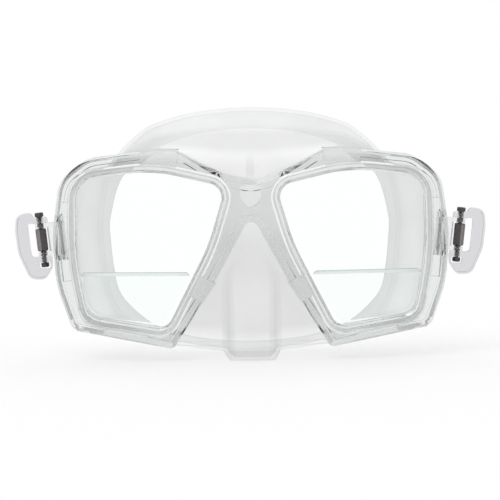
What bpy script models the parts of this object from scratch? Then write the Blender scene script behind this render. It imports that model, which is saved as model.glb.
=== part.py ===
"""Twin-lens snorkel mask: clear frame, glass lenses with reader segments, silicone skirt, strap buckles.

Metres, +Z up. The mask looks along -Y, the face is on the +Y side, and +X is on the right seen from the
front. The origin is the middle of the face seal, level with the middle of the lenses.
"""
import math

import bmesh
import bpy
from mathutils import Vector
from mathutils.geometry import delaunay_2d_cdt

MM = 0.001
GAP = 0.3 * MM

# Lens planes: where the frame front lies, how far each lens sweeps back and leans
FRAME_FRONT_Y = -46.0 * MM
SWEEP = 0.10
SWEEP_BLEND = 9.0 * MM
LENS_LEAN = 0.07
CHORD_ERROR = 0.06 * MM
SMOOTH_ANGLE = math.radians(35.0)
LEAST_RADIUS = 0.4 * MM
COARSEST_CHORD = 0.9
WELD_DISTANCE = 1e-7

# Outlines in millimetres: corner x, corner z, corner radius. Right half or right lens only.
WINDOW_CORNERS = [(10.3, 25.6, 6.0), (40.0, 32.6, 60.0), (70.4, 28.6, 9.0), (71.4, -4.0, 120.0),
                  (66.8, -27.5, 6.0), (35.0, -32.8, 6.0), (17.4, 2.0, 80.0)]
FRAME_CORNERS = [(0.0, 28.8, 12.0), (11.5, 31.2, 22.0), (32.0, 41.8, 12.0), (66.0, 37.8, 14.0),
                 (77.9, 29.2, 14.0), (81.3, 6.0, 60.0), (80.1, -14.5, 45.0), (73.8, -33.2, 5.0),
                 (32.4, -41.2, 2.5), (15.8, -14.8, 90.0), (0.0, 14.5, 3.0)]
SKIRT_FRONT_CORNERS = [(0.0, 27.0, 18.0), (30.0, 37.5, 22.0), (73.6, 32.2, 11.5), (75.2, -4.0, 120.0),
                       (70.2, -31.4, 8.5), (33.0, -41.3, 12.0), (12.6, -41.4, 2.0), (10.4, -45.5, 3.0)]
READER_CORNERS = [(24.2, -9.7, 1.6), (70.5, -9.7, 1.6), (66.0, -28.0, 11.0), (37.0, -32.0, 5.0)]
BRIDGE_HOLLOW_CORNERS = [(4.4, 26.0, 1.2), (4.4, 21.0, 3.0), (1.9, 17.6, 1.2)]

# Face edge of the skirt in millimetres: x, z and distance behind the frame front. Right half.
FACE_EDGE = [(0.0, 57.0, 38.0), (22.0, 55.3, 39.0), (38.9, 50.9, 42.0), (46.5, 46.6, 45.0),
             (56.0, 37.6, 49.0), (61.0, 27.3, 53.0), (64.4, 10.6, 57.0), (64.2, -1.6, 58.0),
             (62.8, -14.5, 57.0), (60.4, -24.4, 54.0), (55.5, -31.6, 51.0), (45.0, -38.8, 46.0),
             (30.0, -43.4, 40.0), (15.0, -45.4, 36.0), (0.0, -46.0, 35.0)]
FACE_EDGE_STEPS = 12

# Depths behind the local frame front
FRAME_DEPTH = 13.0 * MM
FRAME_FRONT_BEVEL = 0.9 * MM
FRAME_FRONT_BEVEL_DEPTH = 1.8 * MM
FRAME_STEP_INSET = 3.4 * MM
FRAME_STEP_SLOPE = 0.3 * MM
FRAME_STEP = 0.5 * MM
FRAME_REAR_DRAFT = 1.6 * MM
BRIDGE_SLOPE = 1.8 * MM
BRIDGE_SLOPE_REACH = 26.0 * MM
BRIDGE_TOP_LEAST_Z = 24.0 * MM
BEND_CUTS = (-1.0, -0.5, 0.0, 0.5, 1.0)
BRIDGE_HOLLOW_FLOOR = 4.0 * MM
LEDGE_FRONT = 10.4 * MM
CUTTER_OVERRUN = 1.0 * MM
RETAINER_FRONT = 0.2 * MM
RETAINER_BACK = 3.4 * MM
TAB_BACK = 2.0 * MM
LENS_FRONT = 3.7 * MM
LENS_BACK = 7.6 * MM
READER_FRONT = 7.9 * MM
READER_BACK = 9.4 * MM
SOCKET_FRONT = 7.9 * MM
SOCKET_BACK = 10.1 * MM
SLEEVE_BACK = 15.0 * MM
WEB_FRONT = 13.4 * MM
WEB_THICKNESS = 2.0 * MM

# Offsets outward from the window outline
RETAINER_RIM = 3.65 * MM
TAB_LEAST = 3.70 * MM
POCKET_RIM = 3.95 * MM
TAB_CLEARANCE = 0.3 * MM
LENS_RIM = 3.3 * MM
LEDGE_RIM = 2.4 * MM
SOCKET_RIM = 3.6 * MM
SOCKET_LIP = 0.9 * MM
SLEEVE_RIM = 2.1 * MM
SLEEVE_BORE = 0.9 * MM
WEB_HOLE = 1.5 * MM
RETAINER_BEVEL = 0.6 * MM
RETAINER_CHAMFER = 1.2 * MM
LENS_BEVEL = 0.4 * MM
READER_TOP_BEVEL = 1.1 * MM
READER_TOP_COSINE = 0.5

# Retainer tabs: edge direction, coordinate, span along the window and reach at both ends, in millimetres
TABS = [((0.0, 1.0), 0, (31.0, 44.6), (11.0, 9.0)), ((1.0, 0.0), 1, (-11.7, 19.8), (7.6, 6.4)),
        ((0.0, -1.0), 0, (42.0, 59.0), (4.8, 4.6)), ((-1.0, 0.0), 1, (-18.0, -9.4), (8.4, 9.6))]
TAB_END = 0.12 * MM
TAB_EDGE_COSINE = 0.75

# Skirt
WALL = 1.5 * MM
WALL_STEPS = 4
SKIRT_CHORD_ERROR = 0.15 * MM
FLANGE_WIDTH = 4.6 * MM
FLANGE_EXTRA_TOP = 4.2 * MM
FLANGE_CREST = 1.2 * MM
FLANGE_LIP = -1.5 * MM
FLANGE_THICK = 1.2 * MM
LIP_THICK = 0.7 * MM
NOSE_REACH = 18.0 * MM
NOSE_TOP = 6.0 * MM
NOSE_RAMP = 40.0 * MM
NOSE_HALF_WIDTH = 8.5 * MM
NOSE_SIDE = 4.0 * MM
NOSE_LEG_CLEARANCE = 5.5 * MM
NOSE_LEG_SLOPE = 16.0 / 29.3
NOSE_LEG_APEX = 14.5 * MM
NOSE_CHIN = -41.0 * MM
NOSE_CHIN_ROUND = 2.5 * MM
NOSE_CHIN_HEIGHT = 4.0 * MM
NOSE_WALL = 1.7 * MM
NOSE_SIDE_STEPS = 4
RIB_HALF_WIDTH = 1.4 * MM
RIB_REACH = 0.42
RIB_STEPS = 6
RIB_HEIGHT = 1.0 * MM
RIB_ROOT = 0.7 * MM
WEB_GRID = 4.0 * MM
WEB_COARSE_FROM_Z = -4.0 * MM
WEB_MARGIN = 1.4 * MM
WEB_CROWDING = 1.0 * MM
LONGEST_EDGE = 8.0 * MM
SLIVER_AREA = 1e-10

# Buckles, in a local frame on the cam axle: out from the frame, back towards the face, up along the axle
AXLE_X = 86.4 * MM
AXLE_Y = -25.2 * MM
AXLE_Z = 3.6 * MM
AXLE_TILT = math.radians(6.1)
PIN_OUT = -8.6 * MM
PIN_BACK = 3.7 * MM
LUG_ROOT_OUT = -8.4 * MM
LUG_ROOT_BACK = -1.0 * MM
LUG_RADIUS = 2.0 * MM
LUG_SPAN = (6.9 * MM, 8.9 * MM)
PIN_RADIUS = 0.8 * MM
PIN_HEAD_RADIUS = 1.4 * MM
PIN_HEAD = 0.7 * MM
BORE_GAP = 0.3 * MM
BARREL_RADIUS = 2.0 * MM
BARREL_WEB_RADIUS = 1.85 * MM
KNUCKLE_RADIUS = 2.1 * MM
KNUCKLE_SPAN = (4.9 * MM, 6.6 * MM)
WEB_NOSE_OUT = -3.9 * MM
WEB_NOSE_BACK = 1.68 * MM
WEB_NOSE_RADIUS = 1.5 * MM
AXLE_RADIUS = 1.0 * MM
AXLE_HEAD_RADIUS = 1.8 * MM
AXLE_HEAD_SPAN = (9.6 * MM, 11.3 * MM)
AXLE_FOOT = -9.9 * MM
CAP_RADIUS = 1.65 * MM
CAP_SPAN = (-11.4 * MM, -9.65 * MM)
CAP_FLOOR = -10.25 * MM
DOME = 0.3 * MM

# Loop and cam outlines in millimetres: the loop as out, up, radius, and the cam as out, back, radius
LOOP_CORNERS = [(-3.1, 9.3, 0.8), (2.3, 9.3, 0.8), (3.4, 11.6, 1.6), (9.4, 11.5, 3.4), (10.5, 5.0, 9.0),
                (10.4, -4.5, 11.0), (6.8, -15.7, 4.2), (0.5, -16.6, 3.4), (-3.3, -11.6, 3.0)]
LOOP_WINDOW_CORNERS = [(-12.0, 6.9, 0.4), (2.4, 6.9, 1.4), (5.2, 7.6, 1.2), (5.2, -6.9, 1.4),
                       (-12.0, -6.9, 0.4)]
CAP_POCKET_CORNERS = [(-2.3, -9.3, 0.4), (2.3, -9.3, 0.4), (2.3, -12.0, 0.8), (-2.3, -12.0, 0.8)]
LOOP_HALF_THICKNESS = 2.0 * MM
LOOP_BEVEL = 0.8 * MM
CAM_CORNERS = [(-2.1, -1.9, 0.4), (0.4, -1.9, 0.4), (2.3, -0.6, 0.4), (2.3, 0.7, 0.6), (0.4, 2.1, 1.4),
               (-2.1, 1.1, 1.0)]
CAM_HALF_LENGTH = 4.6 * MM
CAM_END_BEVEL = 0.35 * MM
CAM_BOSS_OUT = -0.85 * MM
CAM_BOSS_UP = (3.3 * MM, -2.5 * MM)
CAM_BOSS_RADIUS = 1.0 * MM
CAM_BOSS_BACK = (-2.2 * MM, -1.6 * MM)
ROUND_SIDES = 20

# Colour, roughness, metallic and transmission of each finish
FINISHES = {
    "clear_frame": ((0.86, 0.875, 0.865), 0.10, 0.0, 0.9),
    "clear_retainer": ((0.85, 0.87, 0.86), 0.08, 0.0, 0.9),
    "lens_glass": ((0.93, 0.97, 0.95), 0.02, 0.0, 1.0),
    "reader_glass": ((0.88, 0.95, 0.92), 0.02, 0.0, 1.0),
    "silicone": ((0.88, 0.885, 0.88), 0.35, 0.0, 0.7),
    "buckle_clear": ((0.86, 0.86, 0.88), 0.15, 0.0, 0.85),
    "cam_black": ((0.045, 0.04, 0.04), 0.4, 0.0, 0.0),
    "pin_steel": ((0.62, 0.62, 0.63), 0.3, 1.0, 0.0),
}


def clear_scene():
    for old in list(bpy.data.objects):
        bpy.data.objects.remove(old, do_unlink=True)


def make_material(name):
    colour, roughness, metallic, transmission = FINISHES[name]
    material = bpy.data.materials.new(name)
    material.use_nodes = True
    shader = material.node_tree.nodes["Principled BSDF"]
    shader.inputs["Base Color"].default_value = (*colour, 1.0)
    shader.inputs["Roughness"].default_value = roughness
    shader.inputs["Metallic"].default_value = metallic
    shader.inputs["Transmission Weight"].default_value = transmission
    return material


# Flat outlines


def mirrored(corners):
    """Closes a right-hand outline with its mirror image across x = 0."""
    left = [(-x, z, r) for x, z, r in reversed(corners) if x > 0.0]
    return corners + left


def rounded(corners, chord_error=CHORD_ERROR, inset=0.0):
    """Turns corners in millimetres into outline points with outward normals, in metres.

    An inset outline has the same number of points, and its tight corners keep a small radius.
    """
    points = [Vector((x, z)) * MM for x, z, _ in corners]
    area = sum(a.x * b.y - b.x * a.y for a, b in zip(points, points[1:] + points[:1]))
    outline = []
    for index, point in enumerate(points):
        radius = corners[index][2] * MM
        before = (points[index - 1] - point).normalized()
        after = (points[(index + 1) % len(points)] - point).normalized()
        opening = before.angle(after)
        start = point + before * (radius / math.tan(opening / 2.0))
        middle = point + (before + after).normalized() * (radius / math.sin(opening / 2.0))
        turn = before.x * after.y - before.y * after.x
        outward = 1.0 if turn * area < 0.0 else -1.0
        sweep = math.copysign(math.pi - opening, -turn)
        widest_step = 2.0 * math.acos(1.0 - min(COARSEST_CHORD, chord_error / radius))
        steps = max(1, math.ceil(abs(sweep) / widest_step))
        spoke = start - middle
        left = max(radius - inset * outward, LEAST_RADIUS)
        if inset:
            inner = point + (before + after).normalized() * (inset * outward / math.sin(opening / 2.0))
            middle = inner + (before + after).normalized() * (left / math.sin(opening / 2.0))
            spoke = spoke.normalized() * left
        for step in range(steps + 1):
            angle = sweep * step / steps
            arm = Vector((spoke.x * math.cos(angle) - spoke.y * math.sin(angle),
                          spoke.x * math.sin(angle) + spoke.y * math.cos(angle)))
            outline.append((middle + arm, arm.normalized() * outward))
    return outline


def subdivided(outline, longest, guide=None):
    """Adds points on the long straight stretches of an outline, or where its guide has them."""
    guide = guide or outline
    lengths = [(there[0] - here[0]).length for here, there in zip(guide, guide[1:] + guide[:1])]
    result = []
    for (here, normal), (there, other), length in zip(outline, outline[1:] + outline[:1], lengths):
        parts = max(1, math.ceil(length / longest))
        for part in range(parts):
            share = part / parts
            result.append((here.lerp(there, share), normal.lerp(other, share).normalized()))
    return result


def offset(outline, distance):
    return [point + normal * distance for point, normal in outline]


def flipped(outline):
    """Mirrors an outline to the other side of x = 0."""
    return [(Vector((-p.x, p.y)), Vector((-n.x, n.y))) for p, n in outline]


def inside(polygon, point):
    hit = False
    for a, b in zip(polygon, polygon[1:] + polygon[:1]):
        if (a.y > point.y) != (b.y > point.y):
            if point.x < a.x + (point.y - a.y) * (b.x - a.x) / (b.y - a.y):
                hit = not hit
    return hit


def clearance(polygon, point):
    """Least distance from a point to the edges of a polygon."""
    least = 1.0
    for a, b in zip(polygon, polygon[1:] + polygon[:1]):
        edge = b - a
        share = max(0.0, min(1.0, (point - a).dot(edge) / edge.length_squared))
        least = min(least, (point - a - edge * share).length)
    return least


# Lens planes


def front_y(x, z):
    """Y of the frame front: two planes swept back from a rounded ridge at the nose."""
    reach = abs(x)
    if reach < SWEEP_BLEND:
        reach = (x * x + SWEEP_BLEND * SWEEP_BLEND) / (2.0 * SWEEP_BLEND)
    return FRAME_FRONT_Y + SWEEP * reach - LENS_LEAN * z


def flat_loop(points, depth):
    return [Vector((p.x, depth, p.y)) for p in points]


def lens_loop(points, depth):
    return [Vector((p.x, front_y(p.x, p.y) + depth, p.y)) for p in points]


# Mesh making


def finish_object(name, mesh_data, material):
    bmesh.ops.recalc_face_normals(mesh_data, faces=mesh_data.faces[:])
    mesh = bpy.data.meshes.new(name)
    mesh_data.to_mesh(mesh)
    mesh_data.free()
    mesh.shade_smooth()
    mesh.set_sharp_from_angle(angle=SMOOTH_ANGLE)
    mesh.materials.append(material)
    result = bpy.data.objects.new(name, mesh)
    bpy.context.collection.objects.link(result)
    return result


def add_loft(mesh_data, loops, wrap):
    """Joins loops of equal length in order, back to the first one or with flat ends."""
    rings = [[mesh_data.verts.new(point) for point in loop] for loop in loops]
    pairs = list(zip(rings, rings[1:]))
    if wrap:
        pairs.append((rings[-1], rings[0]))
    else:
        mesh_data.faces.new(rings[0])
        mesh_data.faces.new(rings[-1])
    count = len(loops[0])
    for low, high in pairs:
        for index in range(count):
            after = (index + 1) % count
            mesh_data.faces.new((low[index], low[after], high[after], high[index]))


def loft(name, loops, material, wrap=False):
    mesh_data = bmesh.new()
    add_loft(mesh_data, loops, wrap)
    return finish_object(name, mesh_data, material)


def combine(target, tool, operation):
    """Adds a Boolean and turns its tool into a hidden guide."""
    modifier = target.modifiers.new(operation.lower(), "BOOLEAN")
    modifier.operation = operation
    modifier.solver = "EXACT"
    modifier.object = tool
    tool.hide_render = True
    tool.display_type = "WIRE"


def apply_modifiers(target):
    """Replaces an object's mesh with its evaluated mesh and removes the guides it used."""
    tools = [modifier.object for modifier in target.modifiers]
    graph = bpy.context.evaluated_depsgraph_get()
    mesh = bpy.data.meshes.new_from_object(target.evaluated_get(graph))
    target.modifiers.clear()
    target.data = mesh
    for tool in tools:
        bpy.data.objects.remove(tool, do_unlink=True)


# Lens side pieces


def with_tab_ends(outline):
    """Adds a close pair of points to the window outline at both ends of each retainer tab."""
    result = list(outline)
    for direction, axis, span, _ in TABS:
        for bound in span:
            mark = bound * MM
            for index in range(len(result)):
                here, normal = result[index]
                there, other = result[(index + 1) % len(result)]
                faces_tab = normal.dot(Vector(direction)) > TAB_EDGE_COSINE
                if faces_tab and (here[axis] - mark) * (there[axis] - mark) < 0.0:
                    share = (mark - here[axis]) / (there[axis] - here[axis])
                    nudge = TAB_END / (there - here).length
                    pair = [(here.lerp(there, share + side), normal.lerp(other, share + side).normalized())
                            for side in (-nudge, nudge)]
                    result[index + 1:index + 1] = pair
                    break
    return result


def tab_reach(point, normal):
    """Width of the retainer at a window point: its rim, or the reach of the tab there."""
    for direction, axis, span, reach in TABS:
        share = (point[axis] / MM - span[0]) / (span[1] - span[0])
        if normal.dot(Vector(direction)) > TAB_EDGE_COSINE and 0.0 < share < 1.0:
            return (reach[0] + (reach[1] - reach[0]) * share) * MM
    return TAB_LEAST


def make_retainer(name, window, reaches, material):
    rim = offset(window, RETAINER_RIM)
    tabs = [point + normal * reach for (point, normal), reach in zip(window, reaches)]
    tab_front = [point + normal * (reach - RETAINER_BEVEL) for (point, normal), reach in zip(window, reaches)]
    loops = [lens_loop(offset(window, RETAINER_CHAMFER), RETAINER_FRONT),
             lens_loop(tab_front, RETAINER_FRONT),
             lens_loop(tabs, RETAINER_FRONT + RETAINER_BEVEL),
             lens_loop(tabs, TAB_BACK),
             lens_loop(rim, TAB_BACK),
             lens_loop(rim, RETAINER_BACK),
             lens_loop(offset(window, 0.0), RETAINER_BACK),
             lens_loop(offset(window, 0.0), RETAINER_FRONT + RETAINER_CHAMFER)]
    return loft(name, loops, material, wrap=True)


def make_lens(name, window, material):
    edge = offset(window, LENS_RIM)
    ground = offset(window, LENS_RIM - LENS_BEVEL)
    loops = [lens_loop(ground, LENS_FRONT), lens_loop(edge, LENS_FRONT + LENS_BEVEL),
             lens_loop(edge, LENS_BACK - LENS_BEVEL), lens_loop(ground, LENS_BACK)]
    return loft(name, loops, material)


def make_reader(name, outline, material):
    """Reader segment with a narrow ground edge and a wide ground bevel along its straight top."""
    edge = offset(outline, 0.0)
    ground = []
    for point, normal in outline:
        if normal.y > READER_TOP_COSINE:
            ground.append(point - Vector((normal.x * LENS_BEVEL, READER_TOP_BEVEL)))
        else:
            ground.append(point - normal * LENS_BEVEL)
    loops = [lens_loop(edge, READER_FRONT), lens_loop(edge, READER_BACK - LENS_BEVEL),
             lens_loop(ground, READER_BACK)]
    return loft(name, loops, material)


# Frame


def bridge_share(point):
    """How much a point of the outline belongs to the top of the bridge: 1 at its middle, 0 away from it."""
    if point.y < BRIDGE_TOP_LEAST_Z or abs(point.x) > BRIDGE_SLOPE_REACH:
        return 0.0
    return math.cos(math.pi / 2.0 * point.x / BRIDGE_SLOPE_REACH)


def frame_loop(inset, depth, slope=0.0):
    """Outer loop of the frame, set in from its outline and lower along the sloping top of the bridge."""
    outline = rounded(mirrored(FRAME_CORNERS))
    inner = subdivided(rounded(mirrored(FRAME_CORNERS), inset=inset), LONGEST_EDGE, outline)
    return flat_loop([point - normal * (slope * bridge_share(point)) for point, normal in inner], depth)


def make_frame(window_right, window_left, material):
    frame = loft("main_frame", [frame_loop(FRAME_STEP_INSET, 0.0, BRIDGE_SLOPE),
                                frame_loop(FRAME_STEP_INSET - FRAME_STEP_SLOPE, FRAME_STEP, BRIDGE_SLOPE),
                                frame_loop(FRAME_FRONT_BEVEL, FRAME_STEP, BRIDGE_SLOPE),
                                frame_loop(0.0, FRAME_STEP + FRAME_FRONT_BEVEL_DEPTH),
                                frame_loop(FRAME_REAR_DRAFT, FRAME_DEPTH)], material)
    for window in (window_right, window_left):
        reaches = right_side_reaches(window)
        seat = [point + normal * (reach + TAB_CLEARANCE) for (point, normal), reach in zip(window, reaches)]
        pocket = offset(window, POCKET_RIM)
        ledge = offset(window, LEDGE_RIM)
        cutter = loft("lens_seat", [flat_loop(seat, -CUTTER_OVERRUN), flat_loop(seat, TAB_BACK + GAP),
                                    flat_loop(pocket, TAB_BACK + GAP), flat_loop(pocket, LEDGE_FRONT),
                                    flat_loop(ledge, LEDGE_FRONT),
                                    flat_loop(ledge, FRAME_DEPTH + CUTTER_OVERRUN)], material)
        combine(frame, cutter, "DIFFERENCE")
    hollow = offset(rounded(mirrored(BRIDGE_HOLLOW_CORNERS)), 0.0)
    cutter = loft("bridge_hollow", [flat_loop(hollow, BRIDGE_HOLLOW_FLOOR),
                                    flat_loop(hollow, FRAME_DEPTH + CUTTER_OVERRUN)], material)
    combine(frame, cutter, "DIFFERENCE")
    apply_modifiers(frame)
    bend_frame(frame)
    for side in (1.0, -1.0):
        for low, high in (LUG_SPAN, (-LUG_SPAN[1], -LUG_SPAN[0])):
            combine(frame, make_lug(side, low, high, material), "UNION")
    return frame


def bend_frame(frame):
    """Cuts the flat frame across the nose and moves every point onto the swept lens planes."""
    mesh_data = bmesh.new()
    mesh_data.from_mesh(frame.data)
    for share in BEND_CUTS:
        geometry = mesh_data.verts[:] + mesh_data.edges[:] + mesh_data.faces[:]
        bmesh.ops.bisect_plane(mesh_data, geom=geometry, dist=WELD_DISTANCE,
                               plane_co=(share * SWEEP_BLEND, 0.0, 0.0), plane_no=(1.0, 0.0, 0.0))
    for vertex in mesh_data.verts:
        vertex.co.y += front_y(vertex.co.x, vertex.co.z)
    mesh_data.to_mesh(frame.data)
    mesh_data.free()


def right_side_reaches(window):
    """Tab reach of every window point, read on the right-hand side so that both sides match."""
    reaches = []
    for point, normal in window:
        side = math.copysign(1.0, point.x)
        reaches.append(tab_reach(Vector((side * point.x, point.y)), Vector((side * normal.x, normal.y))))
    return reaches


# Skirt


def smooth(share):
    share = max(0.0, min(1.0, share))
    return share * share * (3.0 - 2.0 * share)


def smooth_slope(share):
    """Slope of the smooth step at a share between 0 and 1."""
    return 6.0 * share * (1.0 - share)


def nose_half_width(z):
    """Half width of the nose pocket, which narrows upward between the frame legs."""
    room = NOSE_LEG_SLOPE * (NOSE_LEG_APEX - z) - NOSE_LEG_CLEARANCE
    return max(0.0, min(NOSE_HALF_WIDTH, room))


def nose_bulge(x, z, wall):
    """How far the nose pocket stands forward of the skirt web, on a skin set in by a wall."""
    across = smooth((nose_half_width(z) - wall + NOSE_SIDE - abs(x)) / NOSE_SIDE)
    chin = NOSE_CHIN_ROUND * max(0.0, (NOSE_CHIN - z) / NOSE_CHIN_HEIGHT) ** 2
    return across * max(0.0, NOSE_REACH * smooth((NOSE_TOP - z) / NOSE_RAMP) - chin)


def web_point(point, wall):
    depth = WEB_FRONT - nose_bulge(point.x, point.y, wall)
    if wall > 0.0:
        depth += WEB_THICKNESS
    return Vector((point.x, front_y(point.x, point.y) + depth, point.y))


def web_grid(border, holes, wall):
    """Points inside the web where it bends: the bridge and the nose pocket."""
    points = []
    row_height = WEB_GRID / 2.0
    rows = math.ceil(max(abs(p.y) for p in border) / row_height)
    for row in range(-rows, rows):
        z = row * row_height
        half = max(0.0, nose_half_width(z) - wall)
        sides = [half + NOSE_SIDE * part / NOSE_SIDE_STEPS for part in range(NOSE_SIDE_STEPS + 1)]
        steps = [0.0, half / 2.0] + sides
        if z > NOSE_TOP:
            steps = [0.0, WEB_GRID, 2.0 * WEB_GRID, 3.0 * WEB_GRID]
        if row % 2 and z > WEB_COARSE_FROM_Z:
            continue
        for x in steps + [-step for step in steps]:
            point = Vector((x, z))
            apart = all(not inside(hole, point) and clearance(hole, point) > WEB_MARGIN for hole in holes)
            crowded = any((point - other).length < WEB_CROWDING for other in points)
            if apart and inside(border, point) and clearance(border, point) > WEB_MARGIN and not crowded:
                points.append(point)
    return points


def web_triangles(border, holes, extra):
    """Triangulates the web between its border and the lens holes."""
    points = border + [p for hole in holes for p in hole] + extra
    edges = []
    start = 0
    for ring in [border] + holes:
        count = len(ring)
        edges += [(start + i, start + (i + 1) % count) for i in range(count)]
        start += count
    _, _, faces, origins, _, _ = delaunay_2d_cdt(points, edges, [], 0, WELD_DISTANCE)
    result = []
    for face in faces:
        corners = [origins[index][0] for index in face]
        a, b, c = (points[corner] for corner in corners)
        centre = (a + b + c) / 3.0
        sliver = abs((b - a).cross(c - a)) < SLIVER_AREA
        if not sliver and inside(border, centre) and not any(inside(hole, centre) for hole in holes):
            result.append(corners)
    return points, result


def catmull_rom(points, steps):
    """Closed smooth curve through the points."""
    curve = []
    count = len(points)
    for index in range(count):
        a, b, c, d = (points[(index + shift) % count] for shift in (-1, 0, 1, 2))
        for step in range(steps):
            t = step / steps
            curve.append(0.5 * (2.0 * b + (c - a) * t + (2.0 * a - 5.0 * b + 4.0 * c - d) * t * t
                                + (3.0 * b - a - 3.0 * c + d) * t * t * t))
    return curve


def face_edge_at(points):
    """Face edge of the skirt in the same directions from the middle as the given points."""
    right = [Vector((x, depth, z)) * MM for x, z, depth in FACE_EDGE]
    left = [Vector((-p.x, p.y, p.z)) for p in reversed(right) if p.x > 0.0]
    edge = catmull_rom(right + left, FACE_EDGE_STEPS)
    curve = sorted((math.atan2(p.x, p.z), p.x, p.y, p.z) for p in edge)
    full_turn = 2.0 * math.pi
    before = (curve[-1][0] - full_turn, *curve[-1][1:])
    after = (curve[0][0] + full_turn, *curve[0][1:])
    curve = [before] + curve + [after]
    result = []
    for point in points:
        angle = math.atan2(point.x, point.y)
        low, high = next((a, b) for a, b in zip(curve, curve[1:]) if a[0] <= angle <= b[0])
        share = (angle - low[0]) / (high[0] - low[0])
        x, depth, z = (a + (b - a) * share for a, b in zip(low[1:], high[1:]))
        result.append(Vector((x, FRAME_FRONT_Y + depth, z)))
    return result


def inward(loop):
    """Unit direction towards the middle for every point of a closed loop, seen from the front."""
    result = []
    for index, point in enumerate(loop):
        run = loop[(index + 1) % len(loop)] - loop[index - 1]
        normal = Vector((-run.z, 0.0, run.x)).normalized()
        if normal.x * point.x + normal.z * point.z > 0.0:
            normal = -normal
        result.append(normal)
    return result


def wall_loops(front, back):
    """Loops of the skirt wall between its front border and its face edge."""
    loops = []
    for step in range(1, WALL_STEPS):
        share = step / WALL_STEPS
        eased = smooth(share)
        weights = Vector((eased, share, eased))
        loops.append([a + (b - a) * weights for a, b in zip(front, back)])
    return loops


def shifted(loop, directions, distances, back):
    return [p + d * s + Vector((0.0, back, 0.0)) for p, d, s in zip(loop, directions, distances)]


def make_skirt(window_right, window_left, material):
    outline = subdivided(rounded(mirrored(SKIRT_FRONT_CORNERS), SKIRT_CHORD_ERROR), LONGEST_EDGE)
    border = offset(outline, 0.0)
    border_inner = offset(outline, -WALL)
    holes = [offset(window_right, WEB_HOLE), offset(window_left, WEB_HOLE)]
    mesh_data = bmesh.new()
    skins = []
    for ring, wall in ((border, 0.0), (border_inner, NOSE_WALL)):
        points, triangles = web_triangles(ring, holes, web_grid(ring, holes, wall))
        verts = [mesh_data.verts.new(web_point(point, wall)) for point in points]
        for corners in triangles:
            mesh_data.faces.new([verts[corner] for corner in corners])
        skins.append(verts)
    front_skin, back_skin = skins
    count = len(border)
    start = count
    for hole in holes:
        size = len(hole)
        for index in range(size):
            a = start + index
            b = start + (index + 1) % size
            mesh_data.faces.new((front_skin[a], front_skin[b], back_skin[b], back_skin[a]))
        start += size

    face_edge = face_edge_at(border)
    directions = inward(face_edge)
    widths = [FLANGE_WIDTH + FLANGE_EXTRA_TOP * max(0.0, -d.z) ** 2 for d in directions]
    half_widths = [width / 2.0 for width in widths]
    edge_inner = shifted(face_edge, directions, [WALL] * count, -FLANGE_THICK)
    outer = wall_loops([v.co for v in front_skin[:count]], face_edge)
    inner = wall_loops([v.co for v in back_skin[:count]], edge_inner)
    loops = outer + [face_edge,
                     shifted(face_edge, directions, half_widths, FLANGE_CREST),
                     shifted(face_edge, directions, widths, FLANGE_LIP),
                     shifted(face_edge, directions, widths, FLANGE_LIP - LIP_THICK),
                     shifted(face_edge, directions, half_widths, FLANGE_CREST - FLANGE_THICK),
                     edge_inner] + list(reversed(inner))
    rings = [front_skin[:count]]
    rings += [[mesh_data.verts.new(point) for point in loop] for loop in loops]
    rings.append(back_skin[:count])
    for low, high in zip(rings, rings[1:]):
        for index in range(count):
            after = (index + 1) % count
            mesh_data.faces.new((low[index], low[after], high[after], high[index]))
    skirt = finish_object("skirt", mesh_data, material)
    for window in (window_right, window_left):
        combine(skirt, make_socket(window, material), "UNION")
    top = [index for index in range(count) if border[index].y > 0.0]
    crown = min(top, key=lambda index: abs(border[index].x))
    combine(skirt, make_rib(web_point(border[crown], 0.0), face_edge[crown], material), "UNION")
    return skirt


def make_rib(front, back, material):
    """Upright rib on the forehead wall, over the middle of the bridge."""
    outside = []
    root = []
    for step in range(RIB_STEPS + 1):
        share = RIB_REACH * step / RIB_STEPS
        eased = smooth(share)
        rise = (back.z - front.z) * smooth_slope(share)
        out = Vector((0.0, -rise, back.y - front.y)).normalized()
        place = Vector((0.0, front.y + (back.y - front.y) * share, front.z + (back.z - front.z) * eased))
        outside.append(place + out * RIB_HEIGHT)
        root.append(place - out * RIB_ROOT)
    profile = outside + root[::-1]
    sides = [[point + Vector((x, 0.0, 0.0)) for point in profile] for x in (-RIB_HALF_WIDTH, RIB_HALF_WIDTH)]
    return loft("forehead_rib", sides, material)


def make_socket(window, material):
    """Sleeve with a flanged rim that holds one lens in the skirt."""
    sections = [(SOCKET_LIP, SOCKET_FRONT), (SOCKET_RIM, SOCKET_FRONT), (SOCKET_RIM, SOCKET_BACK),
                (SLEEVE_RIM, SOCKET_BACK), (SLEEVE_RIM, SLEEVE_BACK), (SLEEVE_BORE, SLEEVE_BACK),
                (SLEEVE_BORE, SOCKET_BACK + GAP), (SOCKET_LIP, SOCKET_BACK - GAP)]
    loops = [lens_loop(offset(window, distance), depth) for distance, depth in sections]
    return loft("lens_socket", loops, material, wrap=True)


# Buckles


def buckle_point(side, out, back, up):
    """World place of a point in a buckle's local frame, on the right (1) or the left (-1)."""
    lean = math.sin(AXLE_TILT)
    rise = math.cos(AXLE_TILT)
    return Vector((side * (AXLE_X + out * rise + up * lean), AXLE_Y + back, AXLE_Z - out * lean + up * rise))


def upright_loop(side, profile, up):
    """Loop of points given as out and back, at one height along the axle."""
    return [buckle_point(side, p.x, p.y, up) for p in profile]


def facing_loop(side, profile, back):
    """Loop of points given as out and up, at one depth."""
    return [buckle_point(side, p.x, back, p.y) for p in profile]


def circle(centre, radius, sides=ROUND_SIDES):
    turns = [2.0 * math.pi * index / sides for index in range(sides)]
    return [centre + Vector((math.cos(turn), math.sin(turn))) * radius for turn in turns]


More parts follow.
